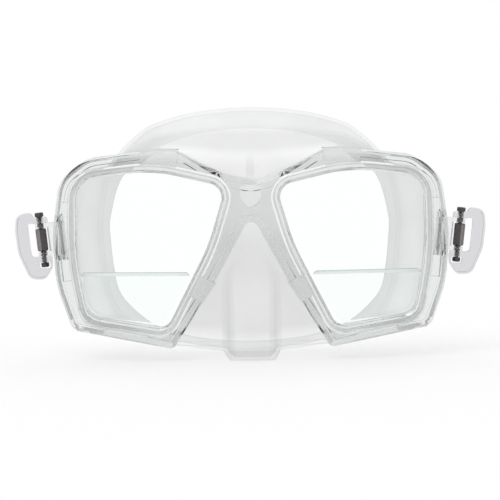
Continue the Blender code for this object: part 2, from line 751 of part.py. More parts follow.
def capsule(start, start_radius, end, end_radius):
    """Outline round two circles, with half of the points on each."""
    heading = math.atan2(end.y - start.y, end.x - start.x)
    half = ROUND_SIDES // 2
    points = []
    for centre, radius, first in ((start, start_radius, heading + math.pi / 2.0),
                                  (end, end_radius, heading - math.pi / 2.0)):
        for index in range(half):
            turn = first + math.pi * index / (half - 1)
            points.append(centre + Vector((math.cos(turn), math.sin(turn))) * radius)
    return points


def make_lug(side, low, high, material):
    """Frame lug with the hole for the swivel pin."""
    pin = Vector((PIN_OUT, PIN_BACK))
    body = capsule(pin, LUG_RADIUS, Vector((LUG_ROOT_OUT, LUG_ROOT_BACK)), LUG_RADIUS)
    lug = loft("lug", [upright_loop(side, body, low), upright_loop(side, body, high)], material)
    hole = circle(pin, PIN_RADIUS + BORE_GAP)
    drill = loft("lug_hole", [upright_loop(side, hole, low - CUTTER_OVERRUN),
                              upright_loop(side, hole, high + CUTTER_OVERRUN)], material)
    combine(lug, drill, "DIFFERENCE")
    apply_modifiers(lug)
    return lug


def make_turned(name, side, centre, steps, material):
    """Solid turned about a line along the axle direction: radius and height of each step."""
    loops = [upright_loop(side, circle(centre, radius), up) for radius, up in steps]
    return loft(name, loops, material)


def make_bracket(name, side, material):
    pin = Vector((PIN_OUT, PIN_BACK))
    arm = capsule(pin, BARREL_RADIUS, Vector((0.0, 0.0)), KNUCKLE_RADIUS)
    web = capsule(pin, BARREL_WEB_RADIUS, Vector((WEB_NOSE_OUT, WEB_NOSE_BACK)), WEB_NOSE_RADIUS)
    low, high = KNUCKLE_SPAN
    stack = [(arm, -high), (arm, -low), (web, -low), (web, low), (arm, low), (arm, high)]
    bracket = loft(name, [upright_loop(side, profile, up) for profile, up in stack], material)
    for centre, radius in ((pin, PIN_RADIUS), (Vector((0.0, 0.0)), AXLE_RADIUS)):
        hole = circle(centre, radius + BORE_GAP)
        drill = loft("bracket_hole", [upright_loop(side, hole, -high - CUTTER_OVERRUN),
                                      upright_loop(side, hole, high + CUTTER_OVERRUN)], material)
        combine(bracket, drill, "DIFFERENCE")
    return bracket


def make_loop(name, side, material):
    outline = rounded(LOOP_CORNERS)
    edge = offset(outline, 0.0)
    face = offset(outline, -LOOP_BEVEL)
    shoulder = LOOP_HALF_THICKNESS - LOOP_BEVEL
    body = loft(name, [facing_loop(side, face, -LOOP_HALF_THICKNESS), facing_loop(side, edge, -shoulder),
                       facing_loop(side, edge, shoulder),
                       facing_loop(side, face, LOOP_HALF_THICKNESS)], material)
    for corners in (LOOP_WINDOW_CORNERS, CAP_POCKET_CORNERS):
        hole = offset(rounded(corners), 0.0)
        reach = LOOP_HALF_THICKNESS + CUTTER_OVERRUN
        cutter = loft("loop_window", [facing_loop(side, hole, -reach),
                                      facing_loop(side, hole, reach)], material)
        combine(body, cutter, "DIFFERENCE")
    bore = circle(Vector((0.0, 0.0)), AXLE_RADIUS + BORE_GAP)
    drill = loft("loop_bore", [upright_loop(side, bore, CAP_SPAN[0]),
                               upright_loop(side, bore, AXLE_HEAD_SPAN[1] + CUTTER_OVERRUN)], material)
    combine(body, drill, "DIFFERENCE")
    return body


def make_cam(name, side, material):
    outline = rounded(CAM_CORNERS)
    plain = offset(outline, 0.0)
    worn = offset(outline, -CAM_END_BEVEL)
    ends = CAM_HALF_LENGTH
    cam = loft(name, [upright_loop(side, worn, -ends), upright_loop(side, plain, -ends + CAM_END_BEVEL),
                      upright_loop(side, plain, ends - CAM_END_BEVEL),
                      upright_loop(side, worn, ends)], material)
    for up in CAM_BOSS_UP:
        ring = circle(Vector((CAM_BOSS_OUT, up)), CAM_BOSS_RADIUS)
        boss = loft("cam_boss", [facing_loop(side, ring, back) for back in CAM_BOSS_BACK], material)
        combine(cam, boss, "UNION")
    bore = circle(Vector((0.0, 0.0)), AXLE_RADIUS + BORE_GAP)
    drill = loft("cam_bore", [upright_loop(side, bore, -ends - CUTTER_OVERRUN),
                              upright_loop(side, bore, ends + CUTTER_OVERRUN)], material)
    combine(cam, drill, "DIFFERENCE")
    return cam


def make_axle(name, side, material):
    low, high = AXLE_HEAD_SPAN
    steps = [(AXLE_RADIUS, AXLE_FOOT), (AXLE_RADIUS, low), (AXLE_HEAD_RADIUS, low),
             (AXLE_HEAD_RADIUS, high - DOME), (AXLE_HEAD_RADIUS - DOME, high)]
    return make_turned(name, side, Vector((0.0, 0.0)), steps, material)


def make_cap(name, side, material):
    low, high = CAP_SPAN
    steps = [(AXLE_RADIUS + BORE_GAP, CAP_FLOOR), (AXLE_RADIUS + BORE_GAP, high), (CAP_RADIUS, high),
             (CAP_RADIUS, low + DOME), (CAP_RADIUS - DOME, low)]
    return make_turned(name, side, Vector((0.0, 0.0)), steps, material)


def make_pin(name, side, material):
    top = LUG_SPAN[1]
    steps = [(PIN_RADIUS, -top), (PIN_RADIUS, top + GAP), (PIN_HEAD_RADIUS, top + GAP),
             (PIN_HEAD_RADIUS, top + GAP + PIN_HEAD)]
    return make_turned(name, side, Vector((PIN_OUT, PIN_BACK)), steps, material)


def put_origin(piece, place):
    """Moves an object's origin onto its joint axis without moving its shape."""
    for vertex in piece.data.vertices:
        vertex.co -= place
    piece.location = place


def make_buckle(prefix, side, materials):
    bracket = make_bracket(prefix + "_buckle_bracket", side, materials["buckle_clear"])
    axle = make_axle(prefix + "_cam_axle", side, materials["cam_black"])
    cap = make_cap(prefix + "_axle_cap", side, materials["cam_black"])
    loop = make_loop(prefix + "_buckle_loop", side, materials["buckle_clear"])
    cam = make_cam(prefix + "_strap_cam", side, materials["cam_black"])
    make_pin(prefix + "_swivel_pin", side, materials["pin_steel"])
    for piece in (bracket, axle, cap):
        put_origin(piece, buckle_point(side, PIN_OUT, PIN_BACK, 0.0))
    for piece in (loop, cam):
        put_origin(piece, buckle_point(side, 0.0, 0.0, 0.0))


def main():
    clear_scene()
    materials = {name: make_material(name) for name in FINISHES}
    window_right = with_tab_ends(rounded(WINDOW_CORNERS))
    window_left = flipped(window_right)
    reader_right = rounded(READER_CORNERS)
    make_frame(window_right, window_left, materials["clear_frame"])
    make_skirt(window_right, window_left, materials["silicone"])
    sides = (("right", 1.0, window_right, reader_right), ("left", -1.0, window_left, flipped(reader_right)))
    for prefix, side, window, reader in sides:
        reaches = right_side_reaches(window)
        make_retainer(prefix + "_lens_retainer", window, reaches, materials["clear_retainer"])
        make_lens(prefix + "_lens", window, materials["lens_glass"])
        make_reader(prefix + "_reader_lens", reader, materials["reader_glass"])
        make_buckle(prefix, side, materials)


main()
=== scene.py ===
"""Looks of the snorkel mask: clear frame, glass, silicone and buckles on a white studio floor."""
import math

import bmesh
import bpy
from mathutils import Matrix, Vector
from mathutils.geometry import delaunay_2d_cdt


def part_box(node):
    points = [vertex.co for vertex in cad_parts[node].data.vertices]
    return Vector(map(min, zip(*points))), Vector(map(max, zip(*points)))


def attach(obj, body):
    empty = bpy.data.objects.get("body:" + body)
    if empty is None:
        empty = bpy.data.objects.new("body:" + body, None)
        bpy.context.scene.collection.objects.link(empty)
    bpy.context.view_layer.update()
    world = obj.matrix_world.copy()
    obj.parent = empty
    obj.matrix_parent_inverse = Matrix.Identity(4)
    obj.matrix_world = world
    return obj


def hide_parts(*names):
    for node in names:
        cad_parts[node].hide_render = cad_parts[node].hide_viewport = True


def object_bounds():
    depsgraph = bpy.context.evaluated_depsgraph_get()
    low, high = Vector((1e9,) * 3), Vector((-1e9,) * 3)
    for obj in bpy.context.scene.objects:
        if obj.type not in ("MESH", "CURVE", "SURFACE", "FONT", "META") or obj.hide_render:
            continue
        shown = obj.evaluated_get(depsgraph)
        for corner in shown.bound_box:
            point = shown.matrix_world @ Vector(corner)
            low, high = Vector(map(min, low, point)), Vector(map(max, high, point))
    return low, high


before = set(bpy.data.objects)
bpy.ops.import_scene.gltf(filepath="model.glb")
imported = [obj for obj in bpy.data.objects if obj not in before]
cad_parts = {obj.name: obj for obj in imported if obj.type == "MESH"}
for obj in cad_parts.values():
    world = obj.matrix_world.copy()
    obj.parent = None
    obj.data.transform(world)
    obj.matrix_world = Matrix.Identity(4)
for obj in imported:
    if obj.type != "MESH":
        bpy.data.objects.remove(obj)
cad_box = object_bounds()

MM = 0.001

# Camera
CAMERA_AZIMUTH = math.radians(-0.7)
CAMERA_ELEVATION = math.radians(5.0)
CAMERA_ROLL = math.radians(0.7)
CAMERA_DISTANCE = 0.85
PIXEL_SIZE = 0.405 * MM
IMAGE_SIDE = 500
CENTRE_RIGHT = 1.5
SENSOR = 36.0

# Studio
FLOOR_GAP = 0.2 * MM
FLOOR_HALF = 12.0
FLOOR_GLOW = 0.6
CAMERA_SIDE = 0.6
BACKDROP_TURN = (-0.5, 0.3)
FLOOR_COLOUR = (0.98, 0.98, 0.98, 1.0)
WHITE = (1.0, 1.0, 1.0, 1.0)
SUN_STRENGTH = 0.75
SUN_SPREAD = math.radians(40.0)
SUN_FROM = (-0.5, -0.7, 1.2)

# Lens planes, as in the solids
FRAME_FRONT_Y = -46.0 * MM
SWEEP = 0.10
SWEEP_BLEND = 9.0 * MM
LENS_LEAN = 0.07

# Outlines in millimetres: corner x, corner z, corner radius. Right half or right lens only.
WINDOW_CORNERS = [(10.3, 25.6, 6.0), (40.0, 32.6, 60.0), (70.4, 28.6, 9.0), (71.4, -4.0, 120.0),
                  (66.8, -27.5, 6.0), (35.0, -32.8, 6.0), (17.4, 2.0, 80.0)]
FRAME_CORNERS = [(0.0, 28.8, 12.0), (11.5, 31.2, 22.0), (32.0, 41.8, 12.0), (66.0, 37.8, 14.0),
                 (77.9, 29.2, 14.0), (81.3, 6.0, 60.0), (80.1, -14.5, 45.0), (73.8, -33.2, 5.0),
                 (32.4, -41.2, 2.5), (15.8, -14.8, 90.0), (0.0, 14.5, 3.0)]
BRIDGE_HOLLOW_CORNERS = [(4.4, 26.0, 1.2), (4.4, 21.0, 3.0), (1.9, 17.6, 1.2)]
SKIRT_FRONT_CORNERS = [(0.0, 27.0, 18.0), (30.0, 37.5, 22.0), (73.6, 32.2, 11.5), (75.2, -4.0, 120.0),
                       (70.2, -31.4, 8.5), (33.0, -41.3, 12.0), (12.6, -41.4, 2.0), (10.4, -45.5, 3.0)]

# Face edge of the skirt in millimetres: x, z and depth behind the frame front. Right half only.
FACE_EDGE = [(0.0, 57.0, 38.0), (22.0, 55.3, 39.0), (38.9, 50.9, 42.0), (46.5, 46.6, 45.0),
             (56.0, 37.6, 49.0), (61.0, 27.3, 53.0), (64.4, 10.6, 57.0), (64.2, -1.6, 58.0),
             (62.8, -14.5, 57.0), (60.4, -24.4, 54.0), (55.5, -31.6, 51.0), (45.0, -38.8, 46.0),
             (30.0, -43.4, 40.0), (15.0, -45.4, 36.0), (0.0, -46.0, 35.0)]
FACE_EDGE_STEPS = 12

# Steps along the outlines
OUTLINE_STEP = 1.6 * MM
CROWN_STEP = 0.35 * MM
CROWN_HALF = 3.0 * MM
CHORD_ERROR = 0.008 * MM
LEAST_RADIUS = 0.4 * MM
COARSEST_CHORD = 0.9

# Frame and retainer sections: depth behind the frame front, inset from the frame outline or window offset
FRAME_DEPTH = 13.0 * MM
FRAME_FRONT_BEVEL = 0.9 * MM
FRAME_FRONT_BEVEL_DEPTH = 1.8 * MM
FRAME_STEP_INSET = 3.4 * MM
FRAME_STEP_SLOPE = 0.3 * MM
FRAME_STEP = 0.5 * MM
FRAME_REAR_DRAFT = 1.8 * MM
BRIDGE_SLOPE = 1.8 * MM
BRIDGE_SLOPE_REACH = 26.0 * MM
BRIDGE_TOP_LEAST_Z = 24.0 * MM
BRIDGE_HOLLOW_FLOOR = 4.0 * MM
BEND_CUTS = 13
LEDGE_FRONT = 10.4 * MM
CUTTER_OVERRUN = 1.0 * MM
RETAINER_FRONT = 0.2 * MM
RETAINER_BACK = 3.4 * MM
TAB_BACK = 2.0 * MM
RETAINER_RIM = 3.65 * MM
TAB_LEAST = 3.70 * MM
POCKET_RIM = 3.95 * MM
TAB_CLEARANCE = 0.3 * MM
LEDGE_RIM = 2.4 * MM
RETAINER_BEVEL = 0.6 * MM
RETAINER_CHAMFER = 1.2 * MM
GAP = 0.3 * MM

# Retainer tabs: edge direction, coordinate, span along the window and reach at both ends, in millimetres
TABS = [((0.0, 1.0), 0, (31.0, 44.6), (11.0, 9.0)), ((1.0, 0.0), 1, (-11.7, 19.8), (7.6, 6.4)),
        ((0.0, -1.0), 0, (42.0, 59.0), (4.8, 4.6)), ((-1.0, 0.0), 1, (-18.0, -9.4), (8.4, 9.6))]
TAB_END = 0.12 * MM
TAB_EDGE_COSINE = 0.75

# Buckle lugs on the frame: in a local frame on the cam axle, out from the frame, back and up
AXLE_X = 86.4 * MM
AXLE_Y = -25.2 * MM
AXLE_Z = 3.6 * MM
AXLE_TILT = math.radians(6.1)
PIN_OUT = -8.6 * MM
PIN_BACK = 3.7 * MM
LUG_ROOT_OUT = -8.4 * MM
LUG_ROOT_BACK = -1.0 * MM
LUG_RADIUS = 2.0 * MM
LUG_SPAN = (6.9 * MM, 8.9 * MM)
PIN_HOLE_RADIUS = 1.1 * MM
ROUND_SIDES = 32

# Skirt sections: depth behind the frame front and offset outward from the window outline
SOCKET_FRONT = 7.9 * MM
SOCKET_BACK = 10.1 * MM
WEB_FRONT = 13.4 * MM
WEB_THICKNESS = 2.0 * MM
SOCKET_RIM = 3.6 * MM
SOCKET_LIP = 0.9 * MM
SLEEVE_RIM = 2.1 * MM
SLEEVE_BORE = 0.9 * MM
LIP_GAP = 0.3 * MM
WALL = 1.5 * MM
WALL_STEPS = 18
FLANGE_STEPS = 8
FLANGE_WIDTH = 4.6 * MM
FLANGE_EXTRA_TOP = 4.2 * MM
FLANGE_EXTRA_BROW = 3.8 * MM
FLANGE_EXTRA_CHEEK = 1.4 * MM
FLANGE_RISE = 6.3 * MM
FLANGE_FALL = 7.8 * MM
FLANGE_THICK = 1.2 * MM
LIP_THICK = 0.7 * MM

# Nose pocket
NOSE_REACH = 18.0 * MM
NOSE_TOP = 6.0 * MM
NOSE_RAMP = 40.0 * MM
NOSE_HALF_WIDTH = 8.5 * MM
NOSE_SIDE = 4.0 * MM
NOSE_LEG_CLEARANCE = 5.5 * MM
NOSE_LEG_SLOPE = 16.0 / 29.3
NOSE_LEG_APEX = 14.5 * MM
NOSE_CHIN = -41.0 * MM
NOSE_CHIN_ROUND = 2.5 * MM
NOSE_CHIN_HEIGHT = 4.0 * MM
NOSE_WALL = 1.7 * MM
NOSE_SIDE_STEPS = 8
WEB_ROW = 1.4 * MM
WEB_COLUMNS = 6
WEB_REACH = 24.0 * MM
WEB_MARGIN = 0.7 * MM

# Forehead rib and the pad around it
RIB_HALF_WIDTH = 1.4 * MM
RIB_REACH = 0.42
RIB_HEIGHT = 1.0 * MM
RIB_EDGE = 0.3 * MM
PAD_HALF_WIDTH = 10.6 * MM
PAD_REACH = 0.46
PAD_HEIGHT = 0.45 * MM
PAD_EDGE = 0.16
PAD_SQUARENESS = 4

# How deep the silicone looks, from 0 to 1
NOSE_TONE = 0.9
WEB_TONE = 0.45
SOCKET_TONE = 0.3
SIDE_WALL_TONE = 0.5
SIDE_FLANGE_TONE = 1.0
CHIN_TONE = 0.0
PAD_TONE = 0.03
FOREHEAD_TONE = 0.6
FOREHEAD_EDGE_TONE = 0.0
FOREHEAD_FLANGE_TONE = 0.18
# Painted shade: the forehead rib is drawn darker so that its relief shows.
RIB_PAINTED_SHADE = 0.4
FOREHEAD_BLEND = (32.0 * MM, 40.0 * MM)
CHIN_BLEND = (-32.0 * MM, -38.0 * MM)
CHIN_WEB_TONE = 0.25
NOSE_BLEND_UP = (16.0 * MM, 0.0)
NOSE_BLEND_OUT = (36.0 * MM, 26.0 * MM)
PAD_END = (0.38, 0.46)
FOREHEAD_EDGE = (0.60, 0.70)

# Reader segment: its ground top edge, from the top down
READER_GREEN = 0.4 * MM
READER_GROUND = 1.6 * MM
READER_FADE = 0.06 * MM
BACK_FACE = 0.3

# Cam axle: spans of its collars along it in millimetres, and its other sizes
COLLARS = [(-9.3, -7.0), (-6.7, -5.8), (-5.5, -4.7), (5.2, 7.0), (7.4, 9.6)]
COLLAR_RADIUS = 1.22 * MM
COLLAR_EDGE = 0.12 * MM
AXLE_CORE = 0.8 * MM
AXLE_FOOT = -9.9 * MM
AXLE_HEAD_RADIUS = 1.8 * MM
AXLE_HEAD_SPAN = (9.6 * MM, 11.3 * MM)
AXLE_DOME = 0.3 * MM

# Smooth shading, rounded edges and the slant of the cam faces that get painted light
WELD_DISTANCE = 1e-7
SMOOTH_ANGLE = math.radians(35.0)
FLAT_ANGLE = math.radians(0.5)
FLAT_WEIGHT = 100
PIN_BEVEL = 0.15 * MM
BRACKET_BEVEL = 0.35 * MM
CAP_BEVEL = 0.15 * MM
CAM_BEVEL = 0.15 * MM
LOOP_BEVEL = 0.8 * MM
LOOP_BEVEL_SEGMENTS = 4
PAINTED_LIGHT_SLANT = 0.4

# Noise: scale, detail and the span of its values that is put to use
NOISE_SPAN = (0.3, 0.7)
WAVES = (90.0, 2.0)
PLASTIC_HAZE = (400.0, 4.0)
GLASS_HAZE = (250.0, 3.0)
GLASS_HAZE_SPAN = (0.4, 0.7)
GROUND_GRAIN = (1500.0, 2.0)
CLOUDS = (60.0, 3.0)
BLOOM_GRAIN = (700.0, 3.0)
SOLID_GRAIN = (900.0, 4.0)

# Clear plastics: surface tint, colour left by depth and how fast it is reached
PLASTIC_IOR = 1.49
WAVE_STRENGTH = 0.12
WAVE_HEIGHT = 0.1 * MM
PLASTIC_HAZE_SHARES = (0.6, 1.6)
FRAME_TINT = (0.97, 0.975, 0.97)
FRAME_DEPTH_COLOUR = (0.5, 0.56, 0.53)
FRAME_DENSITY = 28.0
FRAME_ROUGHNESS = 0.05
RETAINER_ROUGHNESS = 0.04
LOOP_TINT = (0.96, 0.955, 0.965)
LOOP_DENSITY = 175.0
BRACKET_TINT = (0.97, 0.965, 0.975)
BRACKET_DENSITY = 70.0
BUCKLE_DEPTH_COLOUR = (0.55, 0.545, 0.58)
BUCKLE_ROUGHNESS = 0.05

# Glass
GLASS_IOR = 1.22
GLASS_ROUGHNESS = (0.0, 0.012)
GLASS_GREEN = (0.62, 0.93, 0.82, 1.0)
LENS_DENSITY = 9.0
READER_TINT = (0.985, 1.0, 0.995, 1.0)
READER_DENSITY = 30.0
GROUND_LEVELS = (0.97, 1.0)
GREEN_LINE = (0.6, 0.76, 0.7, 1.0)

# Silicone: what comes through at tones 0 and 1, and what is lost along its walls and away from their tone
FACING_BLEND = 0.5
FACING_CURVE = [(0.35, 0.05), (0.7, 0.6)]
FACE_LEVELS = (0.985, 0.87)
FACING_LOSS = (0.12, 0.06)
FACING_LOSS_REACH = 0.4
CLOUD_LEVELS = (-0.01, 0.01)
RED_SHARE = 0.998
BLOOM_SHARE = 0.05
BLOOM_COLOUR = (0.9, 0.9, 0.9, 1.0)
BLOOM_ROUGHNESS = (0.28, 0.42)

# Black plastic and steel, with the shares of gloss and colour that their grain gives
GRAIN_GLOSS = (0.75, 1.25)
GRAIN_LEVELS = (0.8, 1.2)
GRAIN_STRENGTH = 0.1
GRAIN_HEIGHT = 0.05 * MM
BLACK = (0.06, 0.054, 0.054)
BLACK_ROUGHNESS = 0.35
# Painted light: the paler colour on the cam faces turned forward and outward.
PAINTED_LIGHT_COLOUR = (0.24, 0.21, 0.21)
STEEL = (0.9, 0.9, 0.9)
STEEL_ROUGHNESS = 0.45


def link(obj):
    bpy.context.scene.collection.objects.link(obj)
    return obj


def smooth(share):
    share = max(0.0, min(1.0, share))
    return share * share * (3.0 - 2.0 * share)


# Camera, light and floor


def make_camera():
    data = bpy.data.cameras.new("camera")
    data.sensor_width = SENSOR
    data.lens = CAMERA_DISTANCE / PIXEL_SIZE / IMAGE_SIDE * SENSOR
    camera = link(bpy.data.objects.new("camera", data))
    level = math.cos(CAMERA_ELEVATION)
    back = Vector((math.sin(CAMERA_AZIMUTH) * level, -math.cos(CAMERA_AZIMUTH) * level,
                   math.sin(CAMERA_ELEVATION)))
    aim = Vector((-CENTRE_RIGHT * PIXEL_SIZE, FRAME_FRONT_Y, 0.0))
    turn = (-back).to_track_quat("-Z", "Y").to_matrix() @ Matrix.Rotation(-CAMERA_ROLL, 3, "Z")
    camera.matrix_world = Matrix.Translation(aim + back * CAMERA_DISTANCE) @ turn.to_4x4()
    bpy.context.scene.camera = camera


class Shader:
    """A node tree with short calls for adding and joining nodes."""

    def __init__(self, tree):
        self.tree = tree
        self.tree.nodes.clear()

    def node(self, kind, **inputs):
        made = self.tree.nodes.new(kind)
        for key, value in inputs.items():
            self.put(made.inputs[key.replace("_", " ")], value)
        return made

    def put(self, socket, value):
        if isinstance(value, bpy.types.NodeSocket):
            self.tree.links.new(value, socket)
        else:
            socket.default_value = value

    def maths(self, operation, first, second):
        made = self.tree.nodes.new("ShaderNodeMath")
        made.operation = operation
        self.put(made.inputs[0], first)
        self.put(made.inputs[1], second)
        return made.outputs[0]

    def ranged(self, value, span, levels, kind="LINEAR"):
        made = self.node("ShaderNodeMapRange", Value=value, From_Min=span[0], From_Max=span[1],
                         To_Min=levels[0], To_Max=levels[1])
        made.interpolation_type = kind
        return made.outputs["Result"]

    def mixed(self, share, first, second):
        made = self.tree.nodes.new("ShaderNodeMixShader")
        for socket, value in zip(made.inputs, (share, first, second)):
            self.put(socket, value)
        return made.outputs[0]

    def surface(self, shader, volume=None):
        out = self.node("ShaderNodeOutputMaterial", Surface=shader)
        if volume:
            self.put(out.inputs["Volume"], volume)


def new_material(name):
    material = bpy.data.materials.new(name)
    material.use_nodes = True
    return material, Shader(material.node_tree)


def seen_directly(s):
    """1 for rays that see the backdrop itself: from the camera, or by gloss and clear pieces."""
    path = s.node("ShaderNodeLightPath")
    bent = s.maths("MAXIMUM", path.outputs["Is Glossy Ray"], path.outputs["Is Transmission Ray"])
    return s.maths("MAXIMUM", path.outputs["Is Camera Ray"], bent)


def studio_world():
    """White to the camera, gloss and clear pieces. As a light, white behind and dimmer in front."""
    world = bpy.data.worlds.new("studio")
    bpy.context.scene.world = world
    world.use_nodes = True
    s = Shader(world.node_tree)
    place = s.node("ShaderNodeTexCoord")
    axes = s.node("ShaderNodeSeparateXYZ", Vector=place.outputs["Generated"])
    backdrop = s.ranged(axes.outputs["Y"], BACKDROP_TURN, (CAMERA_SIDE, 1.0), "SMOOTHSTEP")
    shown = s.maths("MAXIMUM", seen_directly(s), backdrop)
    glow = s.node("ShaderNodeBackground", Color=WHITE, Strength=shown)
    s.node("ShaderNodeOutputWorld", Surface=glow.outputs[0])


def make_floor(height):
    mesh = bpy.data.meshes.new("floor")
    h = FLOOR_HALF
    corners = [(-h, -h, height), (h, -h, height), (h, h, height), (-h, h, height)]
    mesh.from_pydata(corners, [], [(0, 1, 2, 3)])
    floor = link(bpy.data.objects.new("floor", mesh))
    material, s = new_material("floor")
    share = s.maths("MULTIPLY", seen_directly(s), FLOOR_GLOW)
    paint = s.node("ShaderNodeBsdfDiffuse", Color=FLOOR_COLOUR)
    glow = s.node("ShaderNodeEmission", Color=WHITE, Strength=1.0)
    s.surface(s.mixed(share, paint.outputs[0], glow.outputs[0]))
    mesh.materials.append(material)


def make_sun():
    data = bpy.data.lights.new("sun", "SUN")
    data.energy = SUN_STRENGTH
    data.angle = SUN_SPREAD
    sun = link(bpy.data.objects.new("sun", data))
    sun.rotation_euler = (-Vector(SUN_FROM)).to_track_quat("-Z", "Y").to_euler()


# Materials


def object_noise(s, kind):
    """Noise in the object's own space, of a kind given by its scale and detail."""
    place = s.node("ShaderNodeTexCoord")
    scale, detail = kind
    noise = s.node("ShaderNodeTexNoise", Vector=place.outputs["Object"], Scale=scale, Detail=detail)
    return noise.outputs["Fac"]


def clear_plastic(name, tint, roughness, absorbed, density):
    """Clear moulded plastic: refraction, faint flow waves in the surface and a tint that grows with depth."""
    material, s = new_material(name)
    waves = object_noise(s, WAVES)
    bump = s.node("ShaderNodeBump", Strength=WAVE_STRENGTH, Distance=WAVE_HEIGHT, Height=waves)
    levels = [roughness * share for share in PLASTIC_HAZE_SHARES]
    haze = s.ranged(object_noise(s, PLASTIC_HAZE), NOISE_SPAN, levels)
    body = s.node("ShaderNodeBsdfPrincipled", Base_Color=(*tint, 1.0), Roughness=haze, IOR=PLASTIC_IOR,
                  Transmission_Weight=1.0, Normal=bump.outputs["Normal"])
    depth = s.node("ShaderNodeVolumeAbsorption", Color=(*absorbed, 1.0), Density=density)
    s.surface(body.outputs[0], depth.outputs[0])
    return material


def clear_glass(s, tint, density):
    """Coated glass and its green depth, as a surface and a volume."""
    haze = s.ranged(object_noise(s, GLASS_HAZE), GLASS_HAZE_SPAN, GLASS_ROUGHNESS)
    body = s.node("ShaderNodeBsdfPrincipled", Base_Color=tint, Roughness=haze, IOR=GLASS_IOR,
                  Transmission_Weight=1.0)
    depth = s.node("ShaderNodeVolumeAbsorption", Color=GLASS_GREEN, Density=density)
    return body.outputs[0], depth.outputs[0]


def lens_glass(name):
    """Tempered glass, white face on and faintly green along its edges."""
    material, s = new_material(name)
    s.surface(*clear_glass(s, WHITE, LENS_DENSITY))
    return material


def reader_glass(name, top):
    """Reader segment: clear glass, with a ground strip along its straight top and a green line above it."""
    material, s = new_material(name)
    place = s.node("ShaderNodeTexCoord")
    height = s.node("ShaderNodeSeparateXYZ", Vector=place.outputs["Object"]).outputs["Z"]
    rear = s.node("ShaderNodeAttribute")
    rear.attribute_name = "rear"
    low = top - READER_GROUND
    strip = s.maths("MULTIPLY", rear.outputs["Fac"], s.ranged(height, (low - READER_FADE, low), (0.0, 1.0)))
    low = top - READER_GREEN
    edge = s.ranged(height, (low - READER_FADE, low), (0.0, 1.0))
    grain = s.ranged(object_noise(s, GROUND_GRAIN), NOISE_SPAN, GROUND_LEVELS)
    ground = s.node("ShaderNodeBsdfTranslucent", Color=grain)
    green = s.node("ShaderNodeBsdfTranslucent", Color=GREEN_LINE)
    cut = s.mixed(edge, ground.outputs[0], green.outputs[0])
    body, depth = clear_glass(s, READER_TINT, READER_DENSITY)
    s.surface(s.mixed(strip, body, cut), depth)
    return material


def silicone(name):
    """Clear silicone: see-through, deeper where it is thick or seen along the wall, with painted shade that
    darkens the forehead rib and a satin bloom.
    """
    material, s = new_material(name)
    weight = s.node("ShaderNodeLayerWeight", Blend=FACING_BLEND)
    # This attribute holds the depth of each part of the skirt and the painted shade on the forehead rib.
    thick = s.node("ShaderNodeAttribute")
    thick.attribute_name = "depth_and_rib_shade"
    cloud = s.ranged(object_noise(s, CLOUDS), NOISE_SPAN, CLOUD_LEVELS)
    along = s.node("ShaderNodeFloatCurve", Value=weight.outputs["Facing"])
    curve = along.mapping.curves[0]
    curve.points[0].location = (0.0, 0.0)
    curve.points[1].location = (1.0, 1.0)
    for point in FACING_CURVE:
        curve.points.new(*point)
    along.mapping.update()
    face = s.ranged(thick.outputs["Fac"], (0.0, 1.0), FACE_LEVELS)
    from_walls = s.maths("ABSOLUTE", s.maths("SUBTRACT", thick.outputs["Fac"], SIDE_WALL_TONE), 0.0)
    most = s.ranged(from_walls, (0.0, FACING_LOSS_REACH), FACING_LOSS)
    loss = s.maths("MULTIPLY", along.outputs["Value"], most)
    tone = s.maths("ADD", s.maths("SUBTRACT", face, loss), cloud)
    hue = s.node("ShaderNodeCombineColor", Red=s.maths("MULTIPLY", tone, RED_SHARE), Green=tone, Blue=tone)
    through = s.node("ShaderNodeBsdfTransparent", Color=hue.outputs[0])
    rough = s.ranged(object_noise(s, BLOOM_GRAIN), NOISE_SPAN, BLOOM_ROUGHNESS)
    bloom = s.node("ShaderNodeBsdfPrincipled", Base_Color=BLOOM_COLOUR, Roughness=rough)
    s.surface(s.mixed(BLOOM_SHARE, through.outputs[0], bloom.outputs[0]))
    return material


def opaque(name, colour, roughness, metallic, painted_light=None):
    """Solid plastic or metal with a fine grain in its gloss and colour, and painted light as a paler colour
    on marked faces.
    """
    material, s = new_material(name)
    grain = object_noise(s, SOLID_GRAIN)
    rough = s.ranged(grain, NOISE_SPAN, [roughness * share for share in GRAIN_GLOSS])
    shade = s.node("ShaderNodeValToRGB", Fac=grain)
    for stop, place, level in zip(shade.color_ramp.elements, NOISE_SPAN, GRAIN_LEVELS):
        stop.position = place
        stop.color = (*(channel * level for channel in colour), 1.0)
    bump = s.node("ShaderNodeBump", Strength=GRAIN_STRENGTH, Distance=GRAIN_HEIGHT, Height=grain)
    body = s.node("ShaderNodeBsdfPrincipled", Base_Color=shade.outputs["Color"], Metallic=metallic,
                  Roughness=rough, Normal=bump.outputs["Normal"])
    shown = body.outputs[0]
    # Painted light: a paler colour on the faces marked as turned to the front.
    if painted_light:
        marked = s.node("ShaderNodeAttribute")
        marked.attribute_name = "painted_light"
        pale = s.node("ShaderNodeBsdfPrincipled", Base_Color=(*painted_light, 1.0), Roughness=rough)
        shown = s.mixed(marked.outputs["Fac"], shown, pale.outputs[0])
    s.surface(shown)
    return material


# Rigid pieces


def finish_piece(name, mesh_data, material, body, nodes):
    """Makes a closed, smooth shaded object that stands for CAD nodes and rides on their body."""
    bmesh.ops.recalc_face_normals(mesh_data, faces=mesh_data.faces[:])
    mesh = bpy.data.meshes.new(name)
    mesh_data.to_mesh(mesh)
    mesh_data.free()
    mesh.shade_smooth()
    mesh.set_sharp_from_angle(angle=SMOOTH_ANGLE)
    mesh.materials.append(material)
    piece = link(bpy.data.objects.new(name, mesh))
    normals = piece.modifiers.new("flat_faces", "WEIGHTED_NORMAL")
    normals.keep_sharp = True
    normals.weight = FLAT_WEIGHT
    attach(piece, body)
    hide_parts(*nodes)
    return piece


